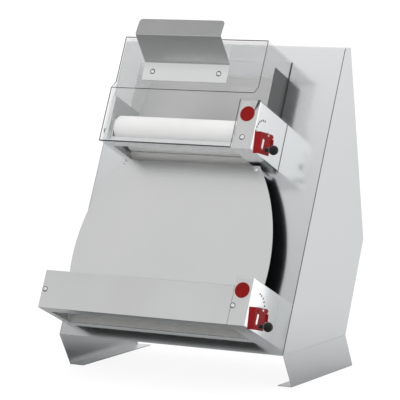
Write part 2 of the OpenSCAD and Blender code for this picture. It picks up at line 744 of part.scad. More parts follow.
module upper_roller_carrier() color([0.5, 0.5, 0.52]) roller_carrier(up);
module lower_roller_carrier() color([0.5, 0.5, 0.52]) roller_carrier(lo);

module rear_roller(u) on_front() {
    rod(left_plate_x[u] + pass_gap, rear_d[u], axis_s[u], journal_r,
        pulley_x[u] + pulley_w - left_plate_x[u] - pass_gap);
    rod(left_plate_x[u] + plate_t + end_gap, rear_d[u], axis_s[u], roller_r[u],
        inner_x[u] - left_plate_x[u] - plate_t - 2 * end_gap);
}
module front_roller(u) on_front() {
    rod(left_plate_x[u] + pass_gap, front_d[u], axis_s[u], journal_r,
        outer_x[u] + cheek_t - left_plate_x[u] - pass_gap);
    rod(left_plate_x[u] + plate_t + end_gap, front_d[u], axis_s[u], roller_r[u],
        inner_x[u] - left_plate_x[u] - plate_t - 2 * end_gap);
}
module upper_rear_roller() color([0.95, 0.95, 0.95]) rear_roller(up);
module upper_front_roller() color([0.95, 0.95, 0.95]) front_roller(up);
module lower_rear_roller() color([0.95, 0.95, 0.95]) rear_roller(lo);
module lower_front_roller() color([0.95, 0.95, 0.95]) front_roller(lo);

// Roller gears: involute teeth, thinned so that a pair turns with play
pressure = 20;
tooth_thin = 0.35;
root_air = 0.6;
flank_steps = 4;
function involute_turn(rb, r) = tan(acos(rb / r)) * 180 / PI - acos(rb / r);
function flank(rp, i) =
    let (rb = rp * cos(pressure), root = rp - tooth_rise - root_air, tip = rp + tooth_rise,
         r = max(rb, root) + (tip - max(rb, root)) * i / flank_steps,
         half = 90 / gear_teeth - tooth_thin / rp * 90 / PI)
    [r, half + involute_turn(rb, rp) - involute_turn(rb, r)];
function tooth(rp, a) =
    let (root = rp - tooth_rise - root_air, f = [for (i = [0:flank_steps]) flank(rp, i)])
    concat([root * [cos(a - f[0][1]), sin(a - f[0][1])]],
           [for (i = [0:flank_steps]) f[i][0] * [cos(a - f[i][1]), sin(a - f[i][1])]],
           [for (i = [flank_steps:-1:0]) f[i][0] * [cos(a + f[i][1]), sin(a + f[i][1])]],
           [root * [cos(a + f[0][1]), sin(a + f[0][1])]]);
module gear(u, p, first) on_front() difference() {
    side_cut(gear_x[u], gear_w) translate(p)
        polygon([for (i = [0:gear_teeth - 1]) each tooth(pitch_r[u], first + i * 360 / gear_teeth)]);
    rod(gear_x[u] - over, p[0], p[1], journal_r, gear_w + 2 * over);
}
module upper_rear_gear() color([0.5, 0.5, 0.52]) gear(up, rear_at[up], 0);
module upper_front_gear() color([0.5, 0.5, 0.52]) gear(up, [front_d[up], axis_s[up]], 180 + 180 / gear_teeth);
module lower_rear_gear() color([0.5, 0.5, 0.52]) gear(lo, rear_at[lo], 0);
module lower_front_gear() color([0.5, 0.5, 0.52]) gear(lo, [front_d[lo], axis_s[lo]], 180 + 180 / gear_teeth);
module upper_driven_pulley() color([0.45, 0.45, 0.47]) pulley(pulley_x[up], rear_at[up], roller_pulley_r);
module lower_driven_pulley() color([0.45, 0.45, 0.47]) pulley(pulley_x[lo], rear_at[lo], roller_pulley_r);

// Levers: a folded sheet on a stub shaft whose cam moves the carrier
slot_l = 20;
slot_w = 5;
slot_in = 11;
slot_lean = 12;
tab_l = 16;
tab_out = 6;
hook = 6;
rivet_r = 2.2;
rivet_h = 1.2;
sleeve_wall = 2;
collar_t = 1.5;
collar_lift = 2;
groove_over = 15;
rear_low_share = 0.5;
hook_low_share = 0.15;
lever_points = [[lever_front, lever_top], [lever_front, -lever_low], [-lever_rear * rear_low_share, -lever_low],
                [-lever_rear, -lever_low * hook_low_share], [-lever_rear - hook, 0], [-lever_rear, lever_top]];

module at_lever(u, x, w) on_front() side_cut(x, w) translate([lever_d[u], axis_s[u]]) children();

module lever(u) {
    plate_x = right_x[u] + lever_stand - lever_t;
    difference() {
        at_lever(u, plate_x, lever_t) difference() {
            rotate(-lever_tilt) difference() {
                polygon(lever_points);
                translate([lever_front - slot_in, -lever_low / 2]) rotate(slot_lean) square([slot_w, slot_l],
                    center = true);
            }
            circle(r = rivet_r, $fn = 24);
        }
        on_front() rod(plate_x - over, lever_d[u], axis_s[u] - index_r[u], plunger_r + slide_gap,
            lever_t + 2 * over);
    }
    at_lever(u, right_x[u] + pass_gap, plate_x - right_x[u] - pass_gap) rotate(-lever_tilt)
        translate([lever_front - lever_t, -lever_low]) square([lever_t, lever_low + lever_top]);
    at_lever(u, plate_x + lever_t, tab_out) rotate(-lever_tilt)
        translate([2 * lever_t - lever_rear, -lever_low * hook_low_share - tab_l]) square([lever_t, tab_l]);
}
module upper_lever() color([0.6, 0.1, 0.11]) lever(up);
module lower_lever() color([0.6, 0.1, 0.11]) lever(lo);

function groove_r(a, side) = pin_at + adjust * a / lever_range + side * (pin_r + slide_gap);
module lever_cam(u) {
    difference() {
        on_front() rod(cam_x[u], lever_d[u], axis_s[u], cam_r, cam_t);
        at_lever(u, cam_x[u] - over, groove_deep + over) polygon([
            for (side = [-1, 1], i = [0:steps])
                let (k = side < 0 ? i : steps - i,
                    a = -groove_over + (lever_range + 2 * groove_over) * k / steps)
                groove_r(a, side) * [cos(lever_turn[u] * a), sin(lever_turn[u] * a)]]);
    }
    on_front() {
        rod(cam_x[u] + cam_t, lever_d[u], axis_s[u], stub_r,
            right_x[u] + lever_stand - lever_t - cam_x[u] - cam_t);
        rod(right_x[u] + lever_stand - lever_t, lever_d[u], axis_s[u], rivet_r, lever_t + rivet_h);
    }
}
module upper_lever_cam() color([0.6, 0.6, 0.62]) lever_cam(up);
module lower_lever_cam() color([0.6, 0.6, 0.62]) lever_cam(lo);

module knob(u) on_front() {
    rod(right_x[u] + pass_gap, lever_d[u], axis_s[u] - index_r[u], plunger_r,
        lever_stand + knob_out - pass_gap);
    rod(right_x[u] + collar_lift, lever_d[u], axis_s[u] - index_r[u], plunger_r + sleeve_wall, collar_t);
    rod(right_x[u] + lever_stand + pass_gap, lever_d[u], axis_s[u] - index_r[u], plunger_r + sleeve_wall,
        knob_out - pass_gap);
    at(right_x[u] + lever_stand + knob_out, lever_d[u], axis_s[u] - index_r[u]) sphere(r = knob_r, $fn = 64);
}
module upper_knob() color([0.12, 0.12, 0.11]) knob(up);
module lower_knob() color([0.12, 0.12, 0.11]) knob(lo);

module knob_spring(u) on_front() difference() {
    rod(right_x[u] + collar_lift + collar_t, lever_d[u], axis_s[u] - index_r[u], plunger_r + sleeve_wall,
        lever_stand - lever_t - collar_lift - collar_t);
    rod(right_x[u] + collar_lift + collar_t - over, lever_d[u], axis_s[u] - index_r[u],
        plunger_r + slide_gap, lever_stand);
}
module upper_knob_spring() color([0.6, 0.6, 0.6]) knob_spring(up);
module lower_knob_spring() color([0.6, 0.6, 0.6]) knob_spring(lo);

// Guard, chute and the tray behind them
guard_d = front_d[up] + roller_r[up] + adjust + guard_room + guard_t;
guard_upper_d = guard_d - ledge_in;
guard_x = left_x[up] - guard_left_over;
guard_right = right_x[up] - guard_right_in;
guard_line = [[0, guard_top], [guard_upper_d, guard_top], [guard_upper_d, ledge_s + ledge_rise],
              [guard_d, ledge_s], [guard_d, unit_bottom[up]]];
guard_bolt_up = 28;
guard_bolt_s = unit_bottom[up] + guard_bolt_up;
guard_bolt_d = [20, 114];
mouth_in = 6;
chute_screw_in = 22;
chute_lip_share = 0.15;

module guard() color([0.9, 0.92, 0.93, 0.3]) difference() {
    on_front() {
        difference() {
            side_cut(guard_x, guard_right - guard_x) polygon(bent(guard_line, -guard_t));
            box(inner_x[up] - seam, guard_d - guard_t - over, unit_bottom[up] - over,
                right_x[up] - inner_x[up], guard_t + 2 * over, unit_top[up] - unit_bottom[up] + over);
        }
        side_cut(guard_x, guard_t) polygon(concat([[0, unit_bottom[up]]], guard_line));
        difference() {
            side_cut(guard_right - guard_t, guard_t) polygon(concat([[0, unit_bottom[up]]], guard_line));
            box(guard_right - 2 * guard_t, -over, unit_bottom[up] - over, 3 * guard_t, guard_d + 2 * over,
                unit_top[up] - unit_bottom[up] + over);
        }
        box(guard_right - guard_t, 0, unit_top[up], right_x[up] - guard_right + guard_t, guard_d, guard_t);
    }
    on_front() {
        box(-chute_left + mouth_in, guard_upper_d - guard_t - over, chute_s + chute_flange + seam,
            chute_w - 2 * mouth_in, guard_t + 2 * over, mouth_h);
        front_fixings();
        side_fixings();
    }
}

module feed_chute() color([0.6, 0.6, 0.6]) on_front() {
    fold = [guard_upper_d, chute_s + chute_flange];
    edge = fold + [chute_reach, chute_rise];
    difference() {
        intersection() {
            side_cut(-chute_left, chute_w)
                polygon(bent([[guard_upper_d, chute_s], fold, edge, edge + chute_lip * [-chute_lip_share,
                    1]], -sheet));
            face_cut(guard_upper_d - over, 2 * chute_reach) chute_outline();
        }
        front_fixings();
    }
}

module chute_outline() {
    top = chute_s + chute_flange + chute_rise + chute_lip;
    polygon(concat([[-chute_left, chute_s - over], [chute_w - chute_left, chute_s - over]],
        arc_points([chute_w - chute_left - chute_corner, top - chute_corner], chute_corner, 0, 90, 8),
        arc_points([-chute_left + chute_corner, top - chute_corner], chute_corner, 90, 180, 8)));
}

tray_top = 585;
tray_wall_d = 62;
tray_wall_t = 2;
tray_over = 3;
tray_end = [rear_d[up] - tray_wall_t, axis_s[up] + roller_r[up] + tray_over];
tray_right = guard_right - guard_t - cheek_gap;
function tray_point(s) = [tray_end[0] * (tray_top - s) / (tray_top - tray_end[1]), s];

module hopper_tray() color([0.7, 0.7, 0.7]) on_front() {
    side_cut(left_plate_x[up] + plate_t, inner_x[up] - left_plate_x[up] - plate_t)
        polygon(bent([tray_point(tray_top), tray_end], sheet));
    side_cut(inner_x[up], tray_right - inner_x[up])
        polygon(bent([tray_point(tray_top), tray_point(unit_top[up] + sheet)], sheet));
    for (x = [left_plate_x[up] + plate_t - tray_wall_t, tray_right - tray_wall_t])
        box(x, 0, unit_top[up], tray_wall_t, tray_wall_d, tray_top - unit_top[up]);
}

// Slide plate between the units
slide_clear = 4.5;
slide_low = axis_s[lo] + roller_r[lo] + slide_clear;
slide_high = unit_bottom[up] - slide_clear;
ear_in = 7;
ear_edge = 7.6;
spacer_r = 7;
low_spacer_x = 150;
low_spacer_s = 150;
slide_air = 1.5;
// Half angles of the side arcs at the plate's lower and upper ends
arc_low = asin((slide_wide_s - slide_low) / slide_arc_r);
arc_high = asin((slide_high - slide_wide_s) / slide_arc_r);
slide_half_w = casing_w / 2 - slide_side_in;
ear_x = slide_half_w - slide_arc_r * (1 - cos(arc_high)) - ear_edge;

module slide_outline() difference() {
    polygon(concat(
        arc_points([slide_half_w - slide_left - slide_arc_r, slide_wide_s], slide_arc_r, -arc_low, arc_high,
            steps),
        arc_points([slide_arc_r - slide_half_w - slide_left, slide_wide_s], slide_arc_r,
            180 - arc_high, 180 + arc_low, steps)));
    translate([inner_x[lo] - slide_air, slide_low - over]) square([lower_w,
        unit_top[lo] + slide_air - slide_low + over]);
    translate([left_plate_x[lo] + plate_t + slide_air - lower_w, slide_low - over])
        square([lower_w, cover_top + slide_air - slide_low + over]);
}

module slide_plate() color([0.75, 0.75, 0.75]) on_front() difference() {
    face_cut(slide_d - slide_t, slide_t) slide_outline();
    front_fixings();
}

module slide_spacers() color([0.6, 0.6, 0.6]) on_front() difference() {
    for (side = [-1, 1]) {
        out_rod(side * ear_x - slide_left, 0, slide_high - ear_in, spacer_r, slide_d - slide_t);
        out_rod(side * low_spacer_x - slide_left, 0, low_spacer_s, spacer_r, slide_d - slide_t);
    }
    front_fixings();
}

disc_in = [22, 25];
disc_down = [24.5, 27];
module red_discs() color([0.62, 0.1, 0.11]) on_front() for (u = [lo, up])
    out_rod(right_x[u] - disc_in[u], unit_d[u], unit_top[u] - disc_down[u], disc_r, disc_t);

// Button head screws that point into the front: x, d of the head's seat, s and shank length
block_screw_in = 26;
block_screw_up = 24;
cover_screw_up = 39;
head_places = [
    [chute_screw_in - chute_left, guard_upper_d + sheet, chute_s + chute_flange / 2, short_l],
    [chute_w - chute_left - chute_screw_in, guard_upper_d + sheet, chute_s + chute_flange / 2, short_l],
    [right_x[up] - block_screw_in, unit_d[up], unit_bottom[up] + block_screw_up, short_l],
    [left_plate_x[lo] + plate_t / 2, unit_d[lo], unit_bottom[lo] + cover_screw_up, shank_l],
    [inner_x[lo] + plate_t / 2, unit_d[lo], unit_bottom[lo] + cover_screw_up, shank_l],
    [ear_x - slide_left, slide_d, slide_high - ear_in, shank_l],
    [-ear_x - slide_left, slide_d, slide_high - ear_in, shank_l]];

module front_fixings() for (p = head_places) out_rod(p[0], p[1] - p[3], p[2], shank_r, p[3]);
module side_fixings() for (d = guard_bolt_d) rod(guard_x, d, guard_bolt_s, shank_r, shank_l);

head_top_share = 0.7;
socket_share = 0.7;
module screw_head() difference() {
    union() {
        cylinder(r = head_r, h = head_h / 2, $fn = 32);
        translate([0, 0, head_h / 2]) cylinder(r1 = head_r, r2 = head_r * head_top_share, h = head_h / 2,
            $fn = 32);
    }
    translate([0, 0, head_h / 2]) cylinder(r = shank_r * socket_share, h = head_h, $fn = 6);
}

module button_screws() color([0.75, 0.75, 0.75]) on_front() {
    front_fixings();
    side_fixings();
    for (p = head_places) at(p[0], p[1], p[2]) rotate([90, 0, 0]) screw_head();
    for (d = guard_bolt_d) at(guard_x, d, guard_bolt_s) rotate([0, -90, 0]) screw_head();
}

front_panel();
left_side_panel();
right_side_panel();
side_flanges();
rear_cover();
base_plate();
casing_screws();
motor_body();
drive_brackets();
lower_belt();
transfer_belt();
upper_belt();
cord_gland();
switch_box();
upper_left_plate();
upper_inner_plate();
upper_drive_cover();
upper_base();
lower_left_plate();
lower_inner_plate();
lower_drive_cover();
lower_front_cover();
lower_base();
rear_roller_bearings();
rear_scrapers();
red_discs();
button_screws();
guard();
feed_chute();
hopper_tray();
slide_plate();
slide_spacers();
motor_shaft();
motor_pulleys();
layshaft();
layshaft_pulleys();
upper_rear_roller();
upper_rear_gear();
upper_driven_pulley();
upper_front_roller();
upper_front_gear();
lower_rear_roller();
lower_rear_gear();
lower_driven_pulley();
lower_front_roller();
lower_front_gear();
upper_roller_carrier();
upper_front_scraper();
lower_roller_carrier();
lower_front_scraper();
upper_lever();
upper_lever_cam();
lower_lever();
lower_lever_cam();
upper_knob();
lower_knob();
upper_knob_spring();
lower_knob_spring();
start_button();
stop_button();
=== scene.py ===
import bpy
import bmesh
import json
import math
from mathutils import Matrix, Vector

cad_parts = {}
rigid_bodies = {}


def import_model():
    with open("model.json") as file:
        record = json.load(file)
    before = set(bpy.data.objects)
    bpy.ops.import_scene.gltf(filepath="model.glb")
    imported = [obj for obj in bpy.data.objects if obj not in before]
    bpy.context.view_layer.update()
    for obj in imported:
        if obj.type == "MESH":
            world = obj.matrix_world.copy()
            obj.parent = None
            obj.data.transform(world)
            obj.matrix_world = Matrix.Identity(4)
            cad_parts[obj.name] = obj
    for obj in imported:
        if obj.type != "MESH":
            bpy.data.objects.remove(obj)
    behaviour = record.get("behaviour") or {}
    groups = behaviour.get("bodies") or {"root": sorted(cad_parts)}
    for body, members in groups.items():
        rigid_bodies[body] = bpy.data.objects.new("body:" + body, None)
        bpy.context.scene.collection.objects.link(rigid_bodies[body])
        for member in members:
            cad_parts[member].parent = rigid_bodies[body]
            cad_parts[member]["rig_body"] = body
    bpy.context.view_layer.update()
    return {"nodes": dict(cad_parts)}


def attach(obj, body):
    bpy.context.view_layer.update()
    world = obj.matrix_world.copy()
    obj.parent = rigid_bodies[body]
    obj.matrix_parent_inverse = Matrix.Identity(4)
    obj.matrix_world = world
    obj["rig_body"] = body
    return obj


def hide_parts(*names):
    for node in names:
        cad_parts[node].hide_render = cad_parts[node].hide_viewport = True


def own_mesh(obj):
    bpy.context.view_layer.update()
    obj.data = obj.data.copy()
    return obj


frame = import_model()
nodes = frame["nodes"]
print("loaded", len(nodes), "nodes")

# settings are in mm. slack is how near a point has to be, along the cosine that counts as along an axis
mm = 0.001
slack = 0.1
along = 0.9

# the leaning front face: x to the right, d out of it, s up along it
stand = {"lean": 24.8, "legHeight": 70, "middleY": 132.7476}
lean = math.radians(stand["lean"])


# modelling helpers
def only(piece):
    if bpy.context.object and bpy.context.object.mode != "OBJECT":
        bpy.ops.object.mode_set(mode="OBJECT")
    bpy.ops.object.select_all(action="DESELECT")
    piece.select_set(True)
    bpy.context.view_layer.objects.active = piece


def settle(piece):
    # turns and moves a piece's mesh, so that its object stays at the origin
    only(piece)
    bpy.ops.object.transform_apply(location=True, rotation=True, scale=True)
    return piece


def leanBack(piece):
    # from the upright front frame to the machine's leaning front face
    settle(piece)
    piece.rotation_euler = (-lean, 0, 0)
    piece.location = (0, -stand["middleY"] * mm, stand["legHeight"] * mm)
    return settle(piece)


def addBlock(name, low, high):
    # low and high are (x, d, s) in mm
    bpy.ops.object.select_all(action="DESELECT")
    size = [(b - a) * mm for a, b in zip(low, high)]
    middle = [(a + b) / 2 * mm for a, b in zip(low, high)]
    bpy.ops.mesh.primitive_cube_add(size=1, location=(middle[0], -middle[1], middle[2]))
    block = bpy.context.object
    block.name = name
    block.scale = size
    return settle(block)


def addRod(name, start, radius, length, axis="X", sides=48):
    # start is (x, d, s) in mm; X runs to the right, D runs outwards
    bpy.ops.object.select_all(action="DESELECT")
    place = [start[0], -start[1], start[2]]
    turn = (0, math.pi / 2, 0) if axis == "X" else (math.pi / 2, 0, 0)
    place[0 if axis == "X" else 1] += length / 2 * (1 if axis == "X" else -1)
    bpy.ops.mesh.primitive_cylinder_add(vertices=sides, radius=radius * mm, depth=length * mm,
                                        location=[v * mm for v in place], rotation=turn)
    rod = bpy.context.object
    rod.name = name
    return settle(rod)


def openAll(piece):
    # goes into edit mode with everything selected
    only(piece)
    bpy.ops.object.mode_set(mode="EDIT")
    bpy.ops.mesh.select_all(action="SELECT")


def pick(piece, kind, test):
    # goes into edit mode with only the wanted faces, edges or points selected
    only(piece)
    bpy.ops.object.mode_set(mode="EDIT")
    bpy.ops.mesh.select_mode(type=kind)
    bpy.ops.mesh.select_all(action="DESELECT")
    shape = bmesh.from_edit_mesh(piece.data)
    for part in {"FACE": shape.faces, "EDGE": shape.edges, "VERT": shape.verts}[kind]:
        if test(part):
            part.select_set(True)
    shape.select_flush_mode()
    bmesh.update_edit_mesh(piece.data)


def done():
    bpy.ops.object.mode_set(mode="OBJECT")


def edgeMiddle(edge):
    return (edge.verts[0].co + edge.verts[1].co) / 2 / mm


def edgeRun(edge):
    return (edge.verts[1].co - edge.verts[0].co).normalized()


def faceMiddle(face):
    return face.calc_center_median() / mm


def bendEdges(piece, width, segments, test):
    # rounds the edges that the test picks, in mm
    pick(piece, "EDGE", test)
    bpy.ops.mesh.bevel(offset=width * mm, segments=segments)
    done()


def apply(piece, kind, **settings):
    only(piece)
    modifier = piece.modifiers.new(kind.lower(), kind)
    for key, value in settings.items():
        setattr(modifier, key, value)
    bpy.ops.object.modifier_apply(modifier=modifier.name)


def thicken(piece, gauge):
    # the sheet grows to the inside of its faces
    apply(piece, "SOLIDIFY", thickness=gauge * mm, offset=-1, use_even_offset=True)


def combine(piece, tool, operation="DIFFERENCE"):
    apply(piece, "BOOLEAN", operation=operation, solver="EXACT", object=tool)


def smooth(piece, angle=35):
    # large faces stay flat and only the rounded edges turn
    only(piece)
    bpy.ops.object.shade_smooth_by_angle(angle=math.radians(angle))
    apply(piece, "WEIGHTED_NORMAL", keep_sharp=True, weight=100)


def softEdges(piece, width, segments=2, angle=40):
    apply(piece, "BEVEL", width=width * mm, segments=segments, limit_method="ANGLE", angle_limit=math.radians(angle))
    smooth(piece)


def cut(piece, tools):
    for tool in tools:
        combine(piece, tool)
        bpy.data.objects.remove(tool)
    smooth(piece)


def join(name, parts):
    bpy.ops.object.select_all(action="DESELECT")
    for part in parts:
        part.select_set(True)
    bpy.context.view_layer.objects.active = parts[0]
    bpy.ops.object.join()
    parts[0].name = name
    return parts[0]


def seamAt(piece, point, normal, cutOff=False):
    # adds a line of edges where a plane crosses the piece; point is in mm
    openAll(piece)
    bpy.ops.mesh.bisect(plane_co=Vector(point) * mm, plane_no=normal, use_fill=cutOff, clear_outer=cutOff)
    done()


def sliceOff(piece, point, normal):
    # cuts away what lies beyond a plane and closes the cut
    seamAt(piece, point, normal, cutOff=True)


def faceAway(piece, point):
    # an open sheet's faces all point away from a point in mm
    total = 0
    for face in piece.data.polygons:
        total += face.normal.dot(face.center / mm - Vector(point)) * face.area
    if total < 0:
        pick(piece, "FACE", lambda f: True)
        bpy.ops.mesh.flip_normals()
        done()


def foldStrip(name, left, right, line, gauge, behind, bend=0, corner=0):
    # a sheet folded along lines parallel to X; line holds (y, z) points in mm, and behind lies on its inner side
    bpy.ops.object.select_all(action="DESELECT")
    (firstY, firstZ), (lastY, lastZ) = line[0], line[-1]
    bpy.ops.mesh.primitive_plane_add(size=1, location=((left + right) / 2 * mm, firstY * mm, firstZ * mm))
    sheet = bpy.context.object
    sheet.name = name
    sheet.scale = ((right - left) * mm, 1, 1)
    settle(sheet)
    # one edge of the 1 m square is kept and moved half its size to the line's first point
    pick(sheet, "VERT", lambda v: v.co.y / mm > firstY)
    bpy.ops.mesh.delete(type="VERT")
    bpy.ops.mesh.select_all(action="SELECT")
    bpy.ops.transform.translate(value=(0, 0.5, 0))
    for a, b in zip(line, line[1:]):
        step = (0, (b[0] - a[0]) * mm, (b[1] - a[1]) * mm)
        bpy.ops.mesh.extrude_region_move(TRANSFORM_OT_translate={"value": step})
    done()
    if bend:
        folds = [Vector(((left + right) / 2, y, z)) for y, z in line[1:-1]]
        bendEdges(sheet, bend, 5, lambda e: abs(edgeRun(e).x) > along and any(
            (edgeMiddle(e) - fold).length < slack for fold in folds))
    if corner:
        pick(sheet, "VERT", lambda v: math.hypot(v.co.y / mm - lastY, v.co.z / mm - lastZ) < slack)
        bpy.ops.mesh.bevel(offset=corner * mm, segments=8, affect="VERTICES")
        done()
    faceAway(sheet, behind)
    thicken(sheet, gauge)
    softEdges(sheet, gauge / 4)
    return sheet


def foldedBox(name, low, high, openSides, bend):
    # a box of folded sheet, still without thickness; openSides names the faces that it hasn't got
    box = addBlock(name, low, high)
    normals = {"left": (-1, 0, 0), "right": (1, 0, 0), "front": (0, -1, 0), "back": (0, 1, 0),
               "top": (0, 0, 1), "bottom": (0, 0, -1)}
    gone = [Vector(normals[side]) for side in openSides]
    pick(box, "FACE", lambda f: any(f.normal.dot(n) > along for n in gone))
    bpy.ops.mesh.delete(type="FACE")
    done()
    bendEdges(box, bend, 4, lambda e: len(e.link_faces) == 2)
    middle = [(a + b) / 2 for a, b in zip(low, high)]
    faceAway(box, (middle[0], -middle[1], middle[2]))
    return box


def stackedSheet(name, low, high, levels):
    # a block raised level by level; each level holds its height, front and rear in mm
    height, front, rear = levels[0]
    second = levels[1][0]
    middle = ((low + high) / 2, (front + rear) / 2, (height + second) / 2)
    bpy.ops.object.select_all(action="DESELECT")
    bpy.ops.mesh.primitive_cube_add(size=1, location=[v * mm for v in middle])
    sheet = bpy.context.object
    sheet.name = name
    sheet.scale = [v * mm for v in (high - low, rear - front, second - height)]
    settle(sheet)
    pick(sheet, "FACE", lambda f: f.normal.z > along)
    for top, newFront, newRear in levels[1:]:
        if top > second:
            bpy.ops.mesh.extrude_region_move(TRANSFORM_OT_translate={"value": (0, 0, (top - height) * mm)})
        bpy.ops.transform.translate(value=(0, (newFront + newRear - front - rear) / 2 * mm, 0))
        bpy.ops.transform.resize(value=(1, (newRear - newFront) / (rear - front), 1),
                                 center_override=(0, (newFront + newRear) / 2 * mm, top * mm))
        height, front, rear = top, newFront, newRear
    done()
    return sheet


def dress(piece, material, *replaced, body=None, slot="sheet_steel"):
    piece.data.materials.clear()
    piece.data.materials.append(material)
    piece.data.name = piece.name
    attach(piece, body or nodes[replaced[0]]["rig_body"])
    if replaced:
        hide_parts(*replaced)
    return piece


def faceFinish(piece, material, test):
    # gives the chosen faces of a piece a finish of their own
    piece.data.materials.append(material)
    pick(piece, "FACE", test)
    piece.active_material_index = len(piece.data.materials) - 1
    bpy.ops.object.material_slot_assign()
    done()


# materials
def linear(hexColour):
    channels = [int(hexColour[i:i + 2], 16) / 255 for i in (1, 3, 5)]
    return [c / 12.92 if c <= 0.04045 else ((c + 0.055) / 1.055) ** 2.4 for c in channels] + [1]


def addNode(tree, kind, links=None, **settings):
    node = tree.nodes.new(kind)
    for key, value in settings.items():
        if hasattr(node, key):
            setattr(node, key, value)
        else:
            node.inputs[key.replace("_", " ")].default_value = value
    for socket, source in (links or {}).items():
        tree.links.new(source, node.inputs[socket])
    return node


def newMaterial(name, **inputs):
    material = bpy.data.materials.new(name)
    material.use_nodes = True
    tree = material.node_tree
    shader = tree.nodes["Principled BSDF"]
    for key, value in inputs.items():
        shader.inputs[key.replace("_", " ")].default_value = value
    place = addNode(tree, "ShaderNodeTexCoord").outputs["Object"]
    return material, tree, shader, place


def ramp(tree, source, low, high, colours):
    node = addNode(tree, "ShaderNodeValToRGB", {"Fac": source})
    for stop, position, colour in zip(node.color_ramp.elements, (low, high), colours):
        stop.position = position
        stop.color = linear(colour)
    return node.outputs[0]


# depth of the brush lines, the moulded skin and the ripples, and the size of mottles and ripples, in mm; spread is
# the part of the noise that the tones take up
surface = {"brushDeep": 0.02, "skinDeep": 0.03, "rippleDeep": 0.2, "mottle": 25, "ripple": 120, "spread": (0.3, 0.7)}


def brushedSheet(name, hexLow, hexHigh, roughness, grain=(0.35, 40), cloud=180, bump=0.02, streak=0.03, paintedLightByHeight=None):
    # rolled or ground metal with a fine grain along X; grain is its width and length in mm, cloud its blotches' size
    material, tree, shader, place = newMaterial(name, Metallic=1)
    fine, long = 1 / grain[0] / mm, 1 / grain[1] / mm
    stretched = addNode(tree, "ShaderNodeMapping", {"Vector": place}, Scale=(long, fine, fine))
    lines = addNode(tree, "ShaderNodeTexNoise", {"Vector": stretched.outputs[0]}, Scale=1.0, Detail=3.0)
    if paintedLightByHeight:
        # the tone follows the height: painted light and shade, lighter or darker by height alone; rise is the lowest
        # and the highest level in mm
        height = addNode(tree, "ShaderNodeSeparateXYZ", {"Vector": place})
        tone = ramp(tree, height.outputs["Z"], paintedLightByHeight[0] * mm, paintedLightByHeight[1] * mm, (hexLow, hexHigh))
    else:
        clouds = addNode(tree, "ShaderNodeTexNoise", {"Vector": place}, Scale=1 / cloud / mm, Detail=2.0)
        tone = ramp(tree, clouds.outputs["Fac"], *surface["spread"], (hexLow, hexHigh))
    tree.links.new(tone, shader.inputs["Base Color"])
    wear = addNode(tree, "ShaderNodeMapRange", {"Value": lines.outputs["Fac"]},
                   To_Min=roughness - streak, To_Max=roughness + streak)
    tree.links.new(wear.outputs[0], shader.inputs["Roughness"])
    relief = addNode(tree, "ShaderNodeBump", {"Height": lines.outputs["Fac"]}, Strength=bump,
                     Distance=surface["brushDeep"] * mm)
    tree.links.new(relief.outputs[0], shader.inputs["Normal"])
    return material


def plastic(name, hexLow, hexHigh, roughness, grit=0.6, bump=0.1, shine=0.5):
    # moulded plastic or paint: faint mottling and a fine skin texture, grit in mm
    material, tree, shader, place = newMaterial(name, Roughness=roughness, Specular_IOR_Level=shine)
    skin = addNode(tree, "ShaderNodeTexNoise", {"Vector": place}, Scale=1 / grit / mm, Detail=3.0)
    clouds = addNode(tree, "ShaderNodeTexNoise", {"Vector": place}, Scale=1 / surface["mottle"] / mm, Detail=2.0)
    tone = ramp(tree, clouds.outputs["Fac"], *surface["spread"], (hexLow, hexHigh))
    tree.links.new(tone, shader.inputs["Base Color"])
    relief = addNode(tree, "ShaderNodeBump", {"Height": skin.outputs["Fac"]}, Strength=bump,
                     Distance=surface["skinDeep"] * mm)
    tree.links.new(relief.outputs[0], shader.inputs["Normal"])
    return material


def clearSheet(name, hexColour, seeThrough, edgeOn, roughness, shine=0.5):
    # extruded polycarbonate: clear seen straight on, milky and glossy at a glancing angle
    material, tree, shader, place = newMaterial(name, Base_Color=linear(hexColour), Roughness=roughness,
                                                Specular_IOR_Level=shine, IOR=1.58)
    ripple = addNode(tree, "ShaderNodeTexNoise", {"Vector": place}, Scale=1 / surface["ripple"] / mm, Detail=1.0)
    relief = addNode(tree, "ShaderNodeBump", {"Height": ripple.outputs["Fac"]}, Strength=0.05,
                     Distance=surface["rippleDeep"] * mm)
    tree.links.new(relief.outputs[0], shader.inputs["Normal"])
    glance = addNode(tree, "ShaderNodeLayerWeight", Blend=0.35)
    cover = addNode(tree, "ShaderNodeMapRange", {"Value": glance.outputs["Facing"]}, To_Min=seeThrough, To_Max=edgeOn)
    tree.links.new(cover.outputs[0], shader.inputs["Alpha"])
    return material


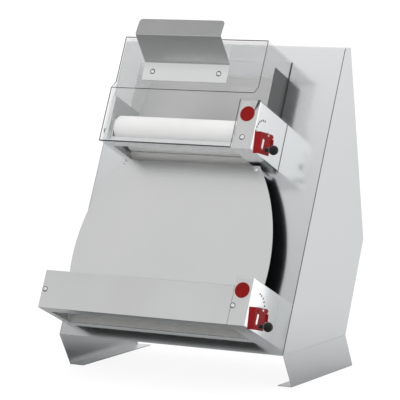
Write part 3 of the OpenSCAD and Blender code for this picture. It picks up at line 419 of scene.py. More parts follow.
finishes = {
    # rolled and polished: soft mirror images; its colour is painted lighter higher up, a painted highlight for the
    # studio's light on the top
    "casing": brushedSheet("stainless sheet front panel", "#a4a6a7", "#d4d6d7", 0.17, paintedLightByHeight=(60, 680)),
    # rolled: blurred reflections; its colour is painted a little lighter higher up, a painted highlight for the light
    # from above
    "side": brushedSheet("stainless sheet side panels", "#b8babb", "#ced0d1", 0.28, paintedLightByHeight=(120, 640)),
    # rolled, left dull: an even grey
    "rear": brushedSheet("stainless sheet rear cover", "#c6c8c9", "#cccecf", 0.3),
    # rolled: painted nearly white, a painted highlight standing in for the lamps' light on the drive housings' sides
    # and the tray's left wall
    "housing": brushedSheet("stainless drive housings", "#f2f4f4", "#f6f7f7", 0.28),
    # rolled, dull: a flat grey with hardly a reflection
    "cover": brushedSheet("stainless front cover", "#b9b9b9", "#bfc0c0", 0.32),
    # rolled, fairly bright: takes the floor's dark from below
    "under": brushedSheet("stainless base sheets", "#d8dadb", "#e0e2e3", 0.26),
    # rolled: an even satin grey
    "slide": brushedSheet("stainless slide plate", "#bfc0c0", "#c3c3c3", 0.26),
    # rolled, fine grain: smooth satin; its colour is painted darker higher up, a painted shade
    "chute": brushedSheet("stainless feed chute", "#cccdcd", "#9e9f9f", 0.26, (0.3, 40), 120, 0.01, 0.015,
                          paintedLightByHeight=(615, 695)),
    # the same sheet, bent upright: smooth, and painted darker than the rest of it, a painted shade on the face that
    # looks down the room
    "lip": brushedSheet("stainless chute lip", "#8f9090", "#989898", 0.24, (0.3, 40), 120, 0.01, 0.015),
    # rolled, dull: a soft grey
    "tray": brushedSheet("stainless hopper tray", "#bebebe", "#b2b2b2", 0.35),
    # painted shade: the steel is painted nearly black with a faint sheen, for the dark on the right wall's outer face
    "trayWallShade": brushedSheet("tray wall painted dark for shade", "#222426", "#2c2e30", 0.3),
    # polished: small bright highlights
    "screw": brushedSheet("polished screw heads", "#cfd1d3", "#d8dadc", 0.2, (0.3, 4), 20),
    # ground: dull, with short coarse scratches
    "plate": brushedSheet("ground steel plate", "#d2d4d5", "#dcdedf", 0.35, (0.5, 25)),
    # turned: bright, with short fine lines
    "turned": brushedSheet("turned steel", "#b9bbbe", "#c6c8ca", 0.2, (0.3, 10)),
    # cast: dull and grainy in all directions
    "alloy": brushedSheet("cast aluminium", "#a2a5a9", "#b2b4b7", 0.45, (1.2, 1.2)),
    # turned plastic: white with a soft highlight
    "roller": plastic("polyethylene rollers", "#fbfbfa", "#fefefd", 0.35, 0.8, 0.03),
    # milled plastic: off-white with a soft highlight
    "scraper": plastic("polyethylene scrapers", "#dfe0dc", "#e6e6e4", 0.4),
    # powder coated: deep red with a fine orange peel and little gloss
    "red": plastic("red powder coat", "#8e1015", "#9b1419", 0.45, 0.9, 0.1, shine=0.12),
    # enamelled: an even, smooth red with little gloss
    "disc": plastic("red enamel disc", "#871411", "#8e1715", 0.5, 1.2, 0.03, shine=0.08),
    # moulded: glossy green
    "green": plastic("green acetal", "#126a35", "#177a3e", 0.3),
    # moulded and polished: black with a small highlight
    "black": plastic("black phenolic", "#0a0a09", "#0f100f", 0.3, 0.7, 0.04, shine=0.2),
    # moulded: matt black
    "rubber": plastic("belt rubber", "#141414", "#1c1c1c", 0.7, 1.0, 0.3),
    # painted shade: a matt line, nearly black, standing in for the shade in the seam gaps
    "seamShade": plastic("seam strip painted black for shade", "#1a1a1a", "#232323", 0.8, 1.0, 0.1, shine=0.1),
    # moulded: a matt dark grey ring, dark so that it draws the ring of shade round each screw head; partly a real
    # washer, partly painted shade
    "washer": plastic("grey washers painting the head shade", "#4a4c4e", "#525456", 0.6, 1.0, 0.1, shine=0.1),
    # painted shade: the slide plate's rear face is painted matt, grainy and nearly black, so that the casing mirrors a
    # dark gap behind the plate
    "slideBackShade": plastic("slide back painted black for shade", "#25272a", "#2d3033", 0.75, 1.5, 0.2, shine=0.1),
    # sprayed: dark grey, half gloss
    "motor": plastic("dark grey paint", "#2a2e33", "#343940", 0.4, 0.9, 0.2),
    # extruded: clear straight on, milky at a glancing angle
    "clear": clearSheet("clear polycarbonate", "#b0b0b0", 0.03, 0.26, 0.05),
    # painted shade: a dark, matt line painted on the guard's rims and folds, because no light comes through them
    "clearEdgeShade": clearSheet("polycarbonate edges painted dark", "#151717", 0.85, 1.0, 0.5, 0.0),
}
print("materials made")

# casing: the front panel is one sheet bent over at the top, with two slots for the belts
panel = {"left": -260.7, "right": 259.8, "foldHeight": 665.5, "foldDepth": 275.16, "strip": 21, "gauge": 1.5, "bend": 3,
         "behind": (0, 400, 0),
         "slots": [((208.8, -6, 51), (224.8, 4, 111)), ((140.8, -6, 399.5), (156.8, 4, 454.2))]}
line = [(-stand["middleY"], stand["legHeight"]), (panel["foldDepth"] - stand["middleY"], panel["foldHeight"]),
        (panel["foldDepth"] + panel["strip"] - stand["middleY"], panel["foldHeight"])]
frontPanel = foldStrip("front_panel_sheet", panel["left"], panel["right"], line, panel["gauge"], panel["behind"],
                       panel["bend"])
cut(frontPanel, [leanBack(addBlock("belt_slot", low, high)) for low, high in panel["slots"]])
dress(frontPanel, finishes["casing"], "front_panel")

# black strips that paint the shade of the seam gaps: in the seam of the right side panel, and where the drive housings
# meet the front panel
seamStrips = {"rim": 0.15, "strips": [((259.8, -1.5, 2), (260.9, -0.5, 652)), ((165, 0, 384), (165.5, 0.8, 484))]}
strips = []
for low, high in seamStrips["strips"]:
    strip = addBlock("strip", low, high)
    softEdges(strip, seamStrips["rim"])
    strips.append(strip)
dress(leanBack(join("seam_shade_strips", strips)), finishes["seamShade"], body="casing", slot="black_rubber")

# side panels: the outline rises level by level from the foot, and the leg leans in a little below its crease
side = {"outer": 262.5, "gauge": 1.5, "legLean": 1.1, "rim": 0.35, "rimAngle": 50, "crease": 70, "creaseDeep": 0.8,
        "creaseWide": 1.6, "levels": [(0, 40, 317), (70, 0, 280), (262, 88.72, 363), (665.5, 275.16, 296.16)]}


def sidePanel(name, way):
    low, high = sorted([way * side["outer"], way * (side["outer"] - side["gauge"])])
    levels = [(z, front - stand["middleY"], rear - stand["middleY"]) for z, front, rear in side["levels"]]
    sheet = stackedSheet(name, low, high, levels)
    pick(sheet, "FACE", lambda f: f.normal.z < -along)
    bpy.ops.transform.translate(value=(-way * side["legLean"] * mm, 0, 0))
    done()
    for z in (side["crease"] - side["creaseWide"] / 2, side["crease"] + side["creaseWide"] / 2):
        seamAt(sheet, (0, 0, z), (0, 0, 1))
    outside = side["outer"] - side["gauge"] / 3
    pick(sheet, "VERT", lambda v: abs(v.co.z / mm - side["crease"]) < slack and abs(v.co.x) / mm > outside)
    bpy.ops.transform.translate(value=(-way * side["creaseDeep"] * mm, 0, 0))
    done()
    softEdges(sheet, side["rim"], angle=side["rimAngle"])
    return sheet


dress(sidePanel("right_side_sheet", 1), finishes["side"], "right_side_panel")

# the left panel has an opening for the switch plate
switch = {"left": -268, "right": -258, "front": 225, "rear": 265, "low": 363, "high": 437}
leftPanel = sidePanel("left_side_sheet", -1)
cut(leftPanel, [addBlock("switch_opening", (switch["left"], stand["middleY"] - switch["rear"], switch["low"]),
                         (switch["right"], stand["middleY"] - switch["front"], switch["high"]))])
dress(leftPanel, finishes["side"], "left_side_panel")
print("casing sheets made")

# drive housings: a folded cover with a boss for the lever shaft and its circle of index holes
units = {"upper": {"left": 120, "right": 165, "front": 128.5, "low": 384, "top": 485, "axis": (95, 425), "index": 30,
                   "way": -1, "screw": (139, 408)},
         "lower": {"left": 188, "right": 228, "front": 118.5, "low": 24, "top": 122.5, "axis": (84, 67), "index": 32.5,
                   "way": 1, "screw": (192, 63)}}
housing = {"gauge": 1.5, "bend": 2.2, "rim": 0.3, "boss": 11, "bossFrom": 5.5, "bossLong": 4, "bossRim": 0.4,
           "bore": 7.05, "boreFrom": 8, "boreLong": 12, "hole": 2.3, "holes": 13, "holeStep": 15, "holeFrom": 3,
           "holeLong": 6, "holeSides": 16, "screwDeep": 4}
drill = {"radius": 2.5, "sides": 20, "short": 8, "long": 12}


def screwHole(x, depth, height, length=drill["short"], axis="D"):
    return addRod("screw_hole", (x, depth, height), drill["radius"], length, axis, drill["sides"])


def driveHousing(which):
    unit = units[which]
    depth, height = unit["axis"]
    box = foldedBox(which + "_housing", (unit["left"], 0, unit["low"]), (unit["right"], unit["front"], unit["top"]),
                    ("left", "bottom", "back"), housing["bend"])
    thicken(box, housing["gauge"])
    softEdges(box, housing["rim"])
    boss = addRod("boss", (unit["right"] - housing["bossFrom"], depth, height), housing["boss"], housing["bossLong"])
    softEdges(boss, housing["bossRim"])
    bore = addRod("bore", (unit["right"] - housing["boreFrom"], depth, height), housing["bore"], housing["boreLong"])
    combine(boss, bore)
    tools = [bore]
    for turn in range(housing["holes"]):
        angle = math.radians(turn * housing["holeStep"])
        place = (unit["right"] - housing["holeFrom"], depth - unit["way"] * unit["index"] * math.sin(angle),
                 height - unit["index"] * math.cos(angle))
        tools.append(addRod("hole", place, housing["hole"], housing["holeLong"], sides=housing["holeSides"]))
    screwX, screwHeight = unit["screw"]
    tools.append(screwHole(screwX, unit["front"] - housing["screwDeep"], screwHeight))
    cut(box, [join("drill", tools)])
    box = join(which + "_drive_housing", [box, boss])
    smooth(box)
    dress(box, finishes["housing"], which + "_drive_cover")
    # the front faces of the same folded sheet take the front cover's duller grey, darker than the near-white sides:
    # painted shade
    faceFinish(box, finishes["cover"], lambda f: f.normal.y < -along)
    leanBack(box)


driveHousing("upper")
driveHousing("lower")

# lower front cover with its turned-in lip
cover = {"left": -252, "right": 187.4, "low": 24, "top": 104, "front": 118.5, "gauge": 1.5, "bend": 2, "rim": 0.3,
         "above": 100, "lip": 8, "lipBend": 1.6, "screw": (-244, 114, 63)}


def topEdge(edge, faces):
    # an edge along the cover's top that this many faces share
    return len(edge.link_faces) == faces and abs(edgeRun(edge).x) > along and edgeMiddle(edge).z > cover["above"]


frontCover = foldedBox("lower_cover", (cover["left"], 0, cover["low"]), (cover["right"], cover["front"], cover["top"]),
                       ("right", "bottom", "back", "top"), cover["bend"])
pick(frontCover, "EDGE", lambda e: topEdge(e, 1))
bpy.ops.mesh.extrude_region_move(TRANSFORM_OT_translate={"value": (0, cover["lip"] * mm, 0)})
done()
bendEdges(frontCover, cover["lipBend"], 4, lambda e: topEdge(e, 2))
thicken(frontCover, cover["gauge"])
softEdges(frontCover, cover["rim"])
cut(frontCover, [screwHole(*cover["screw"])])
dress(leanBack(frontCover), finishes["cover"], "lower_front_cover")
print("covers made")

# base sheets under both units: a flat sheet with a long opening; the upper one's front edge is turned up
bases = {"upper": {"left": -182, "right": 163.5, "front": 128.5, "low": 384, "opening": (-171.5, 117.5, 16, 103.5),
                   "notch": (120, 127), "lip": ((-174, 127, 385), (120, 128.5, 389.5))},
         "lower": {"left": -250.5, "right": 226.5, "front": 117, "low": 24, "opening": (-237.5, 185.5, 12, 87.5)}}
base = {"gauge": 1.5, "rim": 0.3, "corner": 4, "below": 3, "above": 6, "past": 5}


def baseSheet(which):
    own = bases[which]
    low, high = own["low"] - base["below"], own["low"] + base["above"]
    sheet = addBlock(which + "_base_sheet", (own["left"], 0, own["low"]),
                     (own["right"], own["front"], own["low"] + base["gauge"]))
    left, right, rear, front = own["opening"]
    opening = addBlock("opening", (left, rear, low), (right, front, high))
    bendEdges(opening, base["corner"], 5, lambda e: abs(edgeRun(e).z) > along)
    tools = [opening]
    if "lip" in own:
        # the sheet is shorter where the drive housing hangs in front of it
        tools.append(addBlock("notch", (*own["notch"], low),
                              (own["right"] + base["past"], own["front"] + base["past"], high)))
    cut(sheet, tools)
    if "lip" in own:
        sheet = join(which + "_base_sheet", [sheet, addBlock("lip", *own["lip"])])
    softEdges(sheet, base["rim"])
    dress(leanBack(sheet), finishes["under"], which + "_base")


baseSheet("upper")
baseSheet("lower")

# slide plate: where two large discs cross, cut off level at both ends; its rear face is painted nearly black, a painted
# shade
slide = {"radius": 372, "rightCentre": -163, "leftCentre": 121, "wide": 166, "low": 97, "high": 379.5, "front": 36,
         "gauge": 1.5, "sides": 360, "arcFrom": 6, "arcLong": 12, "rim": 0.3, "screws": (134, -176), "screwDepth": 30,
         "screwHeight": 372.5, "rearward": 0.85,
         "notches": [((186.5, 20, 90), (300, 50, 124)), ((-400, 20, 90), (-238.5, 50, 105.5))]}
slidePlate = addRod("slide_sheet", (slide["rightCentre"], slide["front"] - slide["gauge"], slide["wide"]),
                    slide["radius"], slide["gauge"], "D", slide["sides"])
other = addRod("arc", (slide["leftCentre"], slide["front"] - slide["arcFrom"], slide["wide"]), slide["radius"],
               slide["arcLong"], "D", slide["sides"])
combine(slidePlate, other, "INTERSECT")
bpy.data.objects.remove(other)
sliceOff(slidePlate, (0, 0, slide["low"]), (0, 0, -1))
sliceOff(slidePlate, (0, 0, slide["high"]), (0, 0, 1))
cut(slidePlate, [addBlock("notch", low, high) for low, high in slide["notches"]]
    + [screwHole(x, slide["screwDepth"], slide["screwHeight"], drill["long"]) for x in slide["screws"]])
softEdges(slidePlate, slide["rim"])
dress(leanBack(slidePlate), finishes["slide"], "slide_plate")
# painted shade: the rear face is painted nearly black
faceFinish(slidePlate, finishes["slideBackShade"], lambda f: f.normal.y > slide["rearward"])

# feed chute: one sheet with two folds, the lip's corners rounded
chute = {"left": -128, "right": 72, "gauge": 1.5, "bend": 2.5, "corner": 8, "behind": (0, -400, 300), "lipAbove": 604,
         "line": [(-119, 525), (-119, 564), (-181, 603), (-175.8, 637.8)], "screws": (-106, 50), "screwHeight": 544.5,
         "screwDepth": 114}
feedChute = foldStrip("chute_sheet", chute["left"], chute["right"], chute["line"], chute["gauge"], chute["behind"],
                      chute["bend"], chute["corner"])
cut(feedChute, [screwHole(x, chute["screwDepth"], chute["screwHeight"], drill["long"]) for x in chute["screws"]])
dress(feedChute, finishes["chute"], "feed_chute")
# the lip's forward faces get the darker copy of the chute's steel: painted shade
faceFinish(feedChute, finishes["lip"], lambda f: f.normal.y < -along and faceMiddle(f).z > chute["lipAbove"])
leanBack(feedChute)

# hopper tray: two sloping sheets and two walls behind the guard; each sheet's foot is a (y, z) point
tray = {"top": 585, "gauge": 1.5, "behind": (0, 300, 500), "slope": (-174, 120, (-35.4, 455.5)),
        "shelf": (120.2, 143.4, (-26.9, 486.5)), "walls": (-176, 141.4), "wallGauge": 2, "wallDeep": 62, "wallLow": 485,
        "wallRim": 0.4, "outside": 143, "inside": -170}
trayParts = []
for name in ("slope", "shelf"):
    left, right, foot = tray[name]
    trayParts.append(foldStrip("tray_" + name, left, right, [(0, tray["top"]), foot], tray["gauge"], tray["behind"]))
for x in tray["walls"]:
    wall = addBlock("tray_wall", (x, 0, tray["wallLow"]), (x + tray["wallGauge"], tray["wallDeep"], tray["top"]))
    softEdges(wall, tray["wallRim"])
    trayParts.append(wall)
hopperTray = join("hopper_tray", trayParts)
smooth(hopperTray)
dress(hopperTray, finishes["tray"], "hopper_tray")
# the right wall's outer face is painted nearly black: painted shade
faceFinish(hopperTray, finishes["trayWallShade"], lambda f: f.normal.x > along and faceMiddle(f).x > tray["outside"])
# the left wall's inner face takes the near-white drive housing finish: painted light, lighter than the rest of the
# tray's steel
faceFinish(hopperTray, finishes["housing"], lambda f: f.normal.x > along and faceMiddle(f).x < tray["inside"])
leanBack(hopperTray)
print("sheets made")

# clear guard: one folded sheet with a step, open to the housing on its lower right, with a flange above the opening
guard = {"left": -190, "right": 147, "flange": 165, "flangeLow": 488, "housing": 119.4, "gauge": 3, "wideBend": 10,
         "chamfer": 1, "chamferAngle": 30, "behind": (0, -60, 500),
         "strips": ((-187.1, 0, 0), (0, 0, 386.4), (0, 0, 618.4)),
         "levels": [(384, -132, 0), (488, -132, 0), (502, -132, 0), (519.5, -119, 0), (621, -119, 0)],
         "mouth": ((-122, 112, 564.6), (66, 124, 610.6)), "mouthCorner": 6, "bolts": (20, 114), "boltHeight": 412,
         "boltFrom": -194, "screwDepth": 113, "smooth": 40}

# which of its faces get the painted shade: narrower than width, not on the clear ledge or round the flange's wide bend
dark = {"width": 2.4, "ledge": 519.5, "ledgeHigh": 5, "ledgeRun": (-187, 144), "bend": (150, -132, 490),
        "bendWide": 14, "forward": -0.5, "aslant": (0.05, 0.5), "rear": (143, -3, 490)}


def darkEdge(face):
    # the rims and folds that get the painted shade, as they look dark from the front, and the rear rim of the right
    # wall
    middle = faceMiddle(face)
    onLedge = (abs(middle.z - dark["ledge"]) < dark["ledgeHigh"]
               and dark["ledgeRun"][0] < middle.x < dark["ledgeRun"][1])
    wide = 2 * face.calc_area() / face.calc_perimeter() > dark["width"] * mm
    if wide or onLedge or (middle - Vector(dark["bend"])).length < dark["bendWide"]:
        return False
    forward = face.normal.y < dark["forward"] and not dark["aslant"][0] < face.normal.x < dark["aslant"][1]
    return forward or all(value > limit for value, limit in zip(middle, dark["rear"]))


def flangeEdge(edge):
    middle = edgeMiddle(edge)
    return abs(middle.z - guard["flangeLow"]) < slack and abs(middle.x - guard["right"]) < slack


clearGuard = stackedSheet("guard_sheet", guard["left"], guard["right"], guard["levels"])
seamAt(clearGuard, (guard["housing"], 0, 0), (1, 0, 0))
pick(clearGuard, "FACE", lambda f: f.normal.y > along or f.normal.z < -along or (
    faceMiddle(f).z < guard["flangeLow"] and faceMiddle(f).x > guard["housing"]))
bpy.ops.mesh.delete(type="FACE")
done()
pick(clearGuard, "EDGE", lambda e: flangeEdge(e) and abs(edgeRun(e).y) > along)
bpy.ops.mesh.extrude_region_move(TRANSFORM_OT_translate={"value": ((guard["flange"] - guard["right"]) * mm, 0, 0)})
done()
bendEdges(clearGuard, guard["wideBend"], 4, flangeEdge)
faceAway(clearGuard, guard["behind"])
thicken(clearGuard, guard["gauge"])
softEdges(clearGuard, guard["chamfer"], 1, guard["chamferAngle"])
mouth = addBlock("mouth", *guard["mouth"])
bendEdges(mouth, guard["mouthCorner"], 5, lambda e: abs(edgeRun(e).y) > along)
boltHoles = [screwHole(guard["boltFrom"], depth, guard["boltHeight"], axis="X") for depth in guard["bolts"]]
chuteHoles = [screwHole(x, guard["screwDepth"], chute["screwHeight"]) for x in chute["screws"]]
cut(clearGuard, [mouth] + boltHoles + chuteHoles)
for place in guard["strips"]:
    seamAt(clearGuard, place, (1, 0, 0) if place[0] else (0, 0, 1))
dress(clearGuard, finishes["clear"], "guard", slot="clear_plastic")
# painted shade: the guard's rims and folds are painted dark
faceFinish(clearGuard, finishes["clearEdgeShade"], darkEdge)
leanBack(clearGuard)
smooth(clearGuard, guard["smooth"])
print("guard made")

# rollers: a bored plastic sleeve with rounded ends on a steel shaft; depth, height, radius, left, right, shaft end
rollers = {"upper_front": (93, 425, 27.5, -174, 120, 145.8), "upper_rear": (37.4, 425, 27.5, -174, 120, 154.8),
           "lower_front": (82.5, 67, 25.5, -240, 188, 213.8), "lower_rear": (30.9, 67, 25.5, -240, 188, 222.8)}
roller = {"gap": 6, "sides": 96, "ring": 0.4, "hub": 12, "groove": 1.2, "grooveDeep": 1, "rim": 1.6, "shaft": 8,
          "shaftPast": 7.5, "shaftRim": 0.8}
for name, (depth, height, radius, left, right, shaftEnd) in rollers.items():
    sleeve = addRod(name + "_sleeve", (left + roller["gap"], depth, height), radius, right - left - 2 * roller["gap"],
                    sides=roller["sides"])
    pick(sleeve, "FACE", lambda f: abs(f.normal.x) > along)
    bpy.ops.mesh.inset(thickness=roller["ring"] * mm, use_individual=True)
    bpy.ops.mesh.inset(thickness=(radius - roller["hub"]) * mm, use_individual=True)
    bpy.ops.mesh.inset(thickness=roller["groove"] * mm, depth=-roller["grooveDeep"] * mm, use_individual=True)
    done()
    softEdges(sleeve, roller["rim"], 4)
    dress(leanBack(sleeve), finishes["roller"], name + "_roller", slot="white_plastic")
    shaft = addRod(name + "_shaft", (left - roller["shaftPast"], depth, height), roller["shaft"],
                   shaftEnd - left + roller["shaftPast"])
    softEdges(shaft, roller["shaftRim"])
    dress(leanBack(shaft), finishes["turned"], body=nodes[name + "_roller"]["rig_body"], slot="shaft_steel")

# levers: a bent red sheet, made upright round the shaft's axis. waist, tip, crown and toe draw its rear edge; each
# hole has its depth, height, radius and sides
lever = {"front": 34, "rear": 24, "top": 4, "low": 40, "gauge": 2, "bend": 2.5, "rim": 0.45, "stand": 14, "clear": 0.5,
         "tilt": 12, "waist": (18, -6), "tip": (24, 0), "crown": (18, 4), "toe": (9, -40), "reach": 6,
         "notch": ((-32, -44), (-5, 0)), "slot": (10, 11, 22), "slotAt": (18.5, 19.5), "slotCorner": 1.5,
         "holes": [(0, 0, 2.2, 24), (-11, -4, 2, 20), (21.5, -3, 1.7, 16), (25.5, -36, 1.7, 16)],
         "tab": ((-14, -22), (-12, -6)), "tabSunk": 0.2, "tabRim": 0.6, "plunger": 2.8, "plungerSides": 24}


def across(start, end):
    # points to the right of a line in the (y, z) plane
    run = Vector((end[0] - start[0], end[1] - start[1])).normalized()
    return Vector((0, run.y, -run.x))


def leverSheet(which):
    unit = units[which]
    outer = unit["right"] + lever["stand"]
    inside, outside = outer - lever["reach"], outer + lever["reach"]
    through = 2 * lever["reach"]
    plate = foldedBox(which + "_lever_sheet", (unit["right"] + lever["clear"], -lever["rear"], -lever["low"]),
                      (outer, lever["front"], lever["top"]), ("left", "bottom", "back", "top"), lever["bend"])
    thicken(plate, lever["gauge"])
    # the rear edge: a hook at the top and a notch below it
    waist, tip, crown, toe = lever["waist"], lever["tip"], lever["crown"], lever["toe"]
    sliceOff(plate, (0, *tip), across(tip, crown))
    low, high = lever["notch"]
    notch = addBlock("notch", (inside, *low), (outside, *high))
    sliceOff(notch, (0, *toe), -across(toe, waist))
    sliceOff(notch, (0, *waist), -across(waist, tip))
    half = [v / 2 for v in lever["slot"]]
    slot = addBlock("slot", [-v for v in half], half)
    bendEdges(slot, lever["slotCorner"], 3, lambda e: abs(edgeRun(e).x) > along)
    slot.location = (outer * mm, -lever["slotAt"][0] * mm, -lever["slotAt"][1] * mm)
    slot.rotation_euler = (-math.radians(lever["tilt"]), 0, 0)
    holes = [addRod("hole", (inside, depth, height), radius, through, sides=sides)
             for depth, height, radius, sides in lever["holes"]]
    cut(plate, [notch, settle(slot)] + holes)
    softEdges(plate, lever["rim"])
    low, high = lever["tab"]
    tab = addBlock("tab", (outer - lever["tabSunk"], *low), (outside, *high))
    softEdges(tab, lever["tabRim"])
    plate = join(which + "_lever", [plate, tab])
    depth, height = unit["axis"]
    plate.rotation_euler = (math.radians(lever["tilt"]), 0, 0)
    plate.location = (0, -depth * mm, height * mm)
    settle(plate)
    cut(plate, [addRod("plunger_bore", (inside, depth, height - unit["index"]), lever["plunger"], through,
                       sides=lever["plungerSides"])])
    smooth(plate)
    # the photo's casing doesn't mirror the levers and knobs
    plate.visible_glossy = False
    nodes[which + "_lever_cam"].visible_glossy = False
    dress(leanBack(plate), finishes["red"], which + "_lever", slot="red_paint")


# pull knobs: a ball with a flat end, and the start, radius, length, sides and rim of what it sits on
knob = {"radius": 10, "from": 32, "flat": 41.4, "segments": 48, "rings": 24, "rim": 0.8, "rimAngle": 20,
        "rods": {"sleeve": (14.5, 4.5, 10, 48, 0.6), "plunger": (0.5, 2.5, 24, 32, 0.4),
                 "collar": (2, 4.5, 1.5, 48, 0.3)}}


def pullKnob(which):
    unit = units[which]
    start = unit["right"]
    depth, height = unit["axis"][0], unit["axis"][1] - unit["index"]
    bpy.ops.object.select_all(action="DESELECT")
    bpy.ops.mesh.primitive_uv_sphere_add(segments=knob["segments"], ring_count=knob["rings"],
                                         radius=knob["radius"] * mm, rotation=(0, math.pi / 2, 0),
                                         location=((start + knob["from"]) * mm, -depth * mm, height * mm))
    ball = settle(bpy.context.object)
    sliceOff(ball, (start + knob["flat"], 0, 0), (1, 0, 0))
    softEdges(ball, knob["rim"], 3, knob["rimAngle"])
    parts = [ball]
    for name, (offset, radius, length, sides, rim) in knob["rods"].items():
        rod = addRod(name, (start + offset, depth, height), radius, length, sides=sides)
        softEdges(rod, rim)
        parts.append(rod)
    pull = join(which + "_pull_knob", parts)
    smooth(pull)
    pull.visible_glossy = False
    dress(leanBack(pull), finishes["black"], which + "_knob", slot="black_plastic")


spring = {"start": 3.9, "end": 11.8, "coil": 3.75, "wire": 0.45, "wireSides": 10, "turns": 5, "steps": 28, "pull": 4,
          "smooth": 60}


def knobSpring(which):
    # the coil between the plunger's collar and the lever sheet; the real one shortens as the knob is pulled, this one
    # is made at one length and stays so
    unit = units[which]
    depth, height = unit["axis"]
    first, last = unit["right"] + spring["start"] + spring["wire"], unit["right"] + spring["end"] - spring["wire"]
    bpy.ops.object.select_all(action="DESELECT")
    bpy.ops.mesh.primitive_circle_add(radius=spring["wire"] * mm, vertices=spring["wireSides"],
                                      location=(first * mm, spring["coil"] * mm, 0))
    coil = settle(bpy.context.object)
    coil.name = which + "_coil_spring"
    apply(coil, "SCREW", axis="X", angle=math.tau, screw_offset=(last - first) / spring["turns"] * mm,
          iterations=spring["turns"], steps=spring["steps"])
    openAll(coil)
    bpy.ops.mesh.fill_holes(sides=0)
    bpy.ops.mesh.select_all(action="SELECT")
    bpy.ops.mesh.normals_make_consistent(inside=False)
    done()
    coil.location = (0, -depth * mm, (height - unit["index"]) * mm)
    settle(coil)
    smooth(coil, spring["smooth"])
    dress(leanBack(coil), finishes["turned"], which + "_knob_spring", slot="shaft_steel")
    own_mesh(coil)


for which in units:
    leverSheet(which)
    pullKnob(which)
    knobSpring(which)
print("rollers, levers and knobs made")

# button screws: a domed head with a hexagon socket, modelled once and copied to every place: the screw's direction,
# x, depth and height, and the shank's length
head = {"radius": 5, "height": 2.6, "sides": 48, "crown": 0.62, "crownBend": 0.9, "socket": 1.75, "deep": 1.5,
        "socketLong": 4, "rim": 0.15, "rimAngle": 50, "shank": 2.5, "shankSides": 24, "smooth": 40}
places = [("D", -106, 120.5, 544.5, 4.5), ("D", 50, 120.5, 544.5, 4.5), ("D", 139, 128.5, 408, 4.5),
          ("D", -244, 118.5, 63, 10), ("D", 192, 118.5, 63, 10), ("D", 134, 36, 372.5, 10), ("D", -176, 36, 372.5, 10),
          ("X", -190, 20, 412, 10), ("X", -190, 114, 412, 10)]
screw = addRod("screw", (0, 0, 0), head["radius"], head["height"], "D", head["sides"])
pick(screw, "FACE", lambda f: f.normal.y < -along)
bpy.ops.transform.resize(value=(head["crown"], 1, head["crown"]))
done()
bendEdges(screw, head["crownBend"], 4,
          lambda e: edgeMiddle(e).y < slack - head["height"] and len(e.link_faces) == 2)
cut(screw, [addRod("socket", (0, head["height"] - head["deep"], 0), head["socket"], head["socketLong"], "D", 6)])
softEdges(screw, head["rim"], 2, head["rimAngle"])
screws = []
for axis, x, depth, height, length in places:
    one = screw.copy()
    one.data = screw.data.copy()
    bpy.context.scene.collection.objects.link(one)
    one.rotation_euler = (0, 0, -math.pi / 2 if axis == "X" else 0)
    one.location = (x * mm, -depth * mm, height * mm)
    settle(one)
    start = (x, depth - length, height) if axis == "D" else (x, depth, height)
    screws += [one, addRod("shank", start, head["shank"], length, axis, head["shankSides"])]
bpy.data.objects.remove(screw)
buttonScrews = join("button_screws_set", screws)
smooth(buttonScrews, head["smooth"])
dress(leanBack(buttonScrews), finishes["screw"], "button_screws", slot="shaft_steel")

# grey washers under the screw heads that lie further out than the slide plate; their dark grey paints the ring of shade
# round each head
washer = {"outer": 5.8, "inner": 4.8, "thick": 0.4, "boreFrom": 1, "boreLong": 2}
washers = []
for axis, x, depth, height, length in places:
    if depth > slide["front"]:
        start = (x - washer["thick"], depth, height) if axis == "X" else (x, depth, height)
        ring = addRod("ring", start, washer["outer"], washer["thick"], axis)
        start = (x - washer["boreFrom"], depth, height) if axis == "X" else (x, depth - washer["boreFrom"], height)
        cut(ring, [addRod("bore", start, washer["inner"], washer["boreLong"], axis)])
        washers.append(ring)
dress(leanBack(join("screw_washers", washers)), finishes["washer"], body=nodes["button_screws"]["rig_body"],
      slot="black_rubber")

# red marker discs with a soft rim
marker = {"radius": 16, "thick": 0.8, "sides": 64, "rim": 0.3, "smooth": 40,
          "places": ((206, 118.5, 95.5), (140, 128.5, 458))}
discs = []
for place in marker["places"]:
    disc = addRod("disc", place, marker["radius"], marker["thick"], "D", marker["sides"])
    softEdges(disc, marker["rim"], 3)
    discs.append(disc)
markerDiscs = join("marker_discs", discs)
smooth(markerDiscs, marker["smooth"])
dress(leanBack(markerDiscs), finishes["disc"], "red_discs", slot="red_plastic")

# side plates of both units: copies of the CAD nodes, their loose triangles merged and their edges rounded
plates = {"names": ("upper_left_plate", "upper_inner_plate", "lower_left_plate", "lower_inner_plate"), "rim": 0.4,
          "merge": 0.01, "flat": 0.5}
for name in plates["names"]:
    plate = bpy.data.objects.new(name + "_finished", nodes[name].data.copy())
    bpy.context.scene.collection.objects.link(plate)
    openAll(plate)
    bpy.ops.mesh.remove_doubles(threshold=plates["merge"] * mm)
    bpy.ops.mesh.dissolve_limited(angle_limit=math.radians(plates["flat"]))
    done()
    softEdges(plate, plates["rim"])
    dress(plate, finishes["plate"], name, slot="plate_steel")
print("small pieces made")

# camera, as fitted to the photo: place in mm, angles in degrees, focal length and picture width in pixels
view = {"place": (2425.1, -4321.5, 925.5), "azimuth": 29.312, "elevation": 6.603, "focal": 2419.2, "pixels": 400,
        "sensor": 36, "near": 0.1}
azimuth, elevation = math.radians(view["azimuth"]), math.radians(view["elevation"])
level = math.cos(elevation)
back = Vector((math.sin(azimuth) * level, -math.cos(azimuth) * level, math.sin(elevation)))


def addAimed(name, data, location, towards):
    # puts a camera or a lamp in the scene, looking along a direction
    item = bpy.data.objects.new(name, data)
    bpy.context.scene.collection.objects.link(item)
    item.location = location
    item.rotation_mode = "QUATERNION"
    item.rotation_quaternion = towards.to_track_quat("-Z", "Y")
    return item


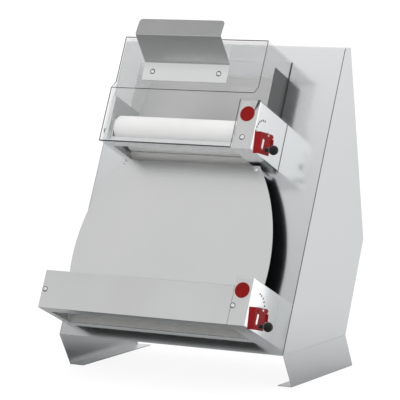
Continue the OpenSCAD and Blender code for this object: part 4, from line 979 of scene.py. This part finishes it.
cameraData = bpy.data.cameras.new("photo camera")
cameraData.sensor_width = view["sensor"]
cameraData.lens = view["sensor"] * view["focal"] / view["pixels"]
cameraData.clip_start = view["near"]
bpy.context.scene.camera = addAimed("photo camera", cameraData, Vector(view["place"]) * mm, -back)
bpy.context.scene.view_settings.view_transform = "Standard"

# the floor, in metres. The camera sees it glow, as white as the photo's ground. Mirror rays see a dark patch, which
# the lower sheets reflect, and bounced light finds another, which keeps the lower rollers in shade
studio = {"size": 80.0, "at": (0, 15, -0.0004), "roughness": 0.9, "specular": 0.1, "seen": 0.12, "glow": 0.9,
          "mirrored": {"centre": (-0.4, -0.3, 0), "near": 0.3, "far": 1.3, "dark": 0.43, "pale": 1.0},
          "bounced": {"centre": (0, -0.1, 0), "near": 0.6, "far": 1.9, "dark": 0.02, "pale": 0.85}}
bpy.ops.object.select_all(action="DESELECT")
bpy.ops.mesh.primitive_plane_add(size=studio["size"], location=studio["at"])
floor = bpy.context.object
floor.name = "studio_floor"
settle(floor)
# paper: matt and white
paper, tree, shader, position = newMaterial("white studio paper", Roughness=studio["roughness"],
                                            Specular_IOR_Level=studio["specular"], Emission_Color=(1, 1, 1, 1))
rays = addNode(tree, "ShaderNodeLightPath").outputs
patches = {}
for kind in ("mirrored", "bounced"):
    patch = studio[kind]
    away = addNode(tree, "ShaderNodeVectorMath", {0: position}, operation="DISTANCE")
    away.inputs[1].default_value = patch["centre"]
    patches[kind] = addNode(tree, "ShaderNodeMapRange", {"Value": away.outputs["Value"]}, From_Min=patch["near"],
                            From_Max=patch["far"], To_Min=patch["dark"], To_Max=patch["pale"]).outputs[0]
direct = addNode(tree, "ShaderNodeMapRange", {"Value": rays["Is Camera Ray"], "To Min": patches["bounced"]},
                 To_Max=studio["seen"])
tone = addNode(tree, "ShaderNodeMapRange", {"Value": rays["Is Glossy Ray"], "To Min": direct.outputs[0],
                                            "To Max": patches["mirrored"]})
tree.links.new(tone.outputs[0], shader.inputs["Base Color"])
glow = addNode(tree, "ShaderNodeMapRange", {"Value": rays["Is Camera Ray"]}, To_Min=0.0, To_Max=studio["glow"])
tree.links.new(glow.outputs[0], shader.inputs["Emission Strength"])
floor.data.materials.append(paper)

# an even sky, a little brighter overhead
sky = {"strength": 1.12, "heights": (0.35, 0.75), "colours": ("#f6f6f6", "#ffffff")}
world = bpy.data.worlds.new("soft studio")
bpy.context.scene.world = world
world.use_nodes = True
tree = world.node_tree
background = tree.nodes["Background"]
direction = addNode(tree, "ShaderNodeTexCoord").outputs["Generated"]
height = addNode(tree, "ShaderNodeSeparateXYZ", {"Vector": direction}).outputs["Z"]
tree.links.new(ramp(tree, height, *sky["heights"], sky["colours"]), background.inputs["Color"])
background.inputs["Strength"].default_value = sky["strength"]

# two square lamps: where each stands and aims, in metres, its size and its watts
lamps = {"key": ((1.8, -2.0, 3.0), (0, 0, 0.35), 3.0, 9), "top": ((0.3, 0.9, 2.8), (0, 0, 0.3), 1.6, 12)}
for name, (stands, aim, size, watts) in lamps.items():
    data = bpy.data.lights.new(name, "AREA")
    data.shape = "RECTANGLE"
    data.size = data.size_y = size
    data.energy = watts
    addAimed(name, data, stands, Vector(aim) - Vector(stands))
print("camera and light set")

# the pieces that keep their CAD shape
painted = {"rear": ("rear_cover", "base_plate", "side_flanges"),
           "plate": ("drive_brackets", "upper_roller_carrier", "lower_roller_carrier"),
           "turned": ("casing_screws", "slide_spacers", "motor_shaft", "layshaft", "upper_rear_gear",
                      "upper_front_gear", "lower_rear_gear", "lower_front_gear", "upper_lever_cam",
                      "lower_lever_cam", "rear_roller_bearings"),
           "alloy": ("motor_pulleys", "layshaft_pulleys", "upper_driven_pulley", "lower_driven_pulley"),
           "scraper": ("rear_scrapers", "upper_front_scraper", "lower_front_scraper"),
           "rubber": ("lower_belt", "transfer_belt", "upper_belt"),
           "red": ("stop_button",), "green": ("start_button",), "black": ("switch_box", "cord_gland"),
           "motor": ("motor_body",)}
for finish, names in painted.items():
    for name in names:
        materials = nodes[name].data.materials
        materials.clear()
        materials.append(finishes[finish])
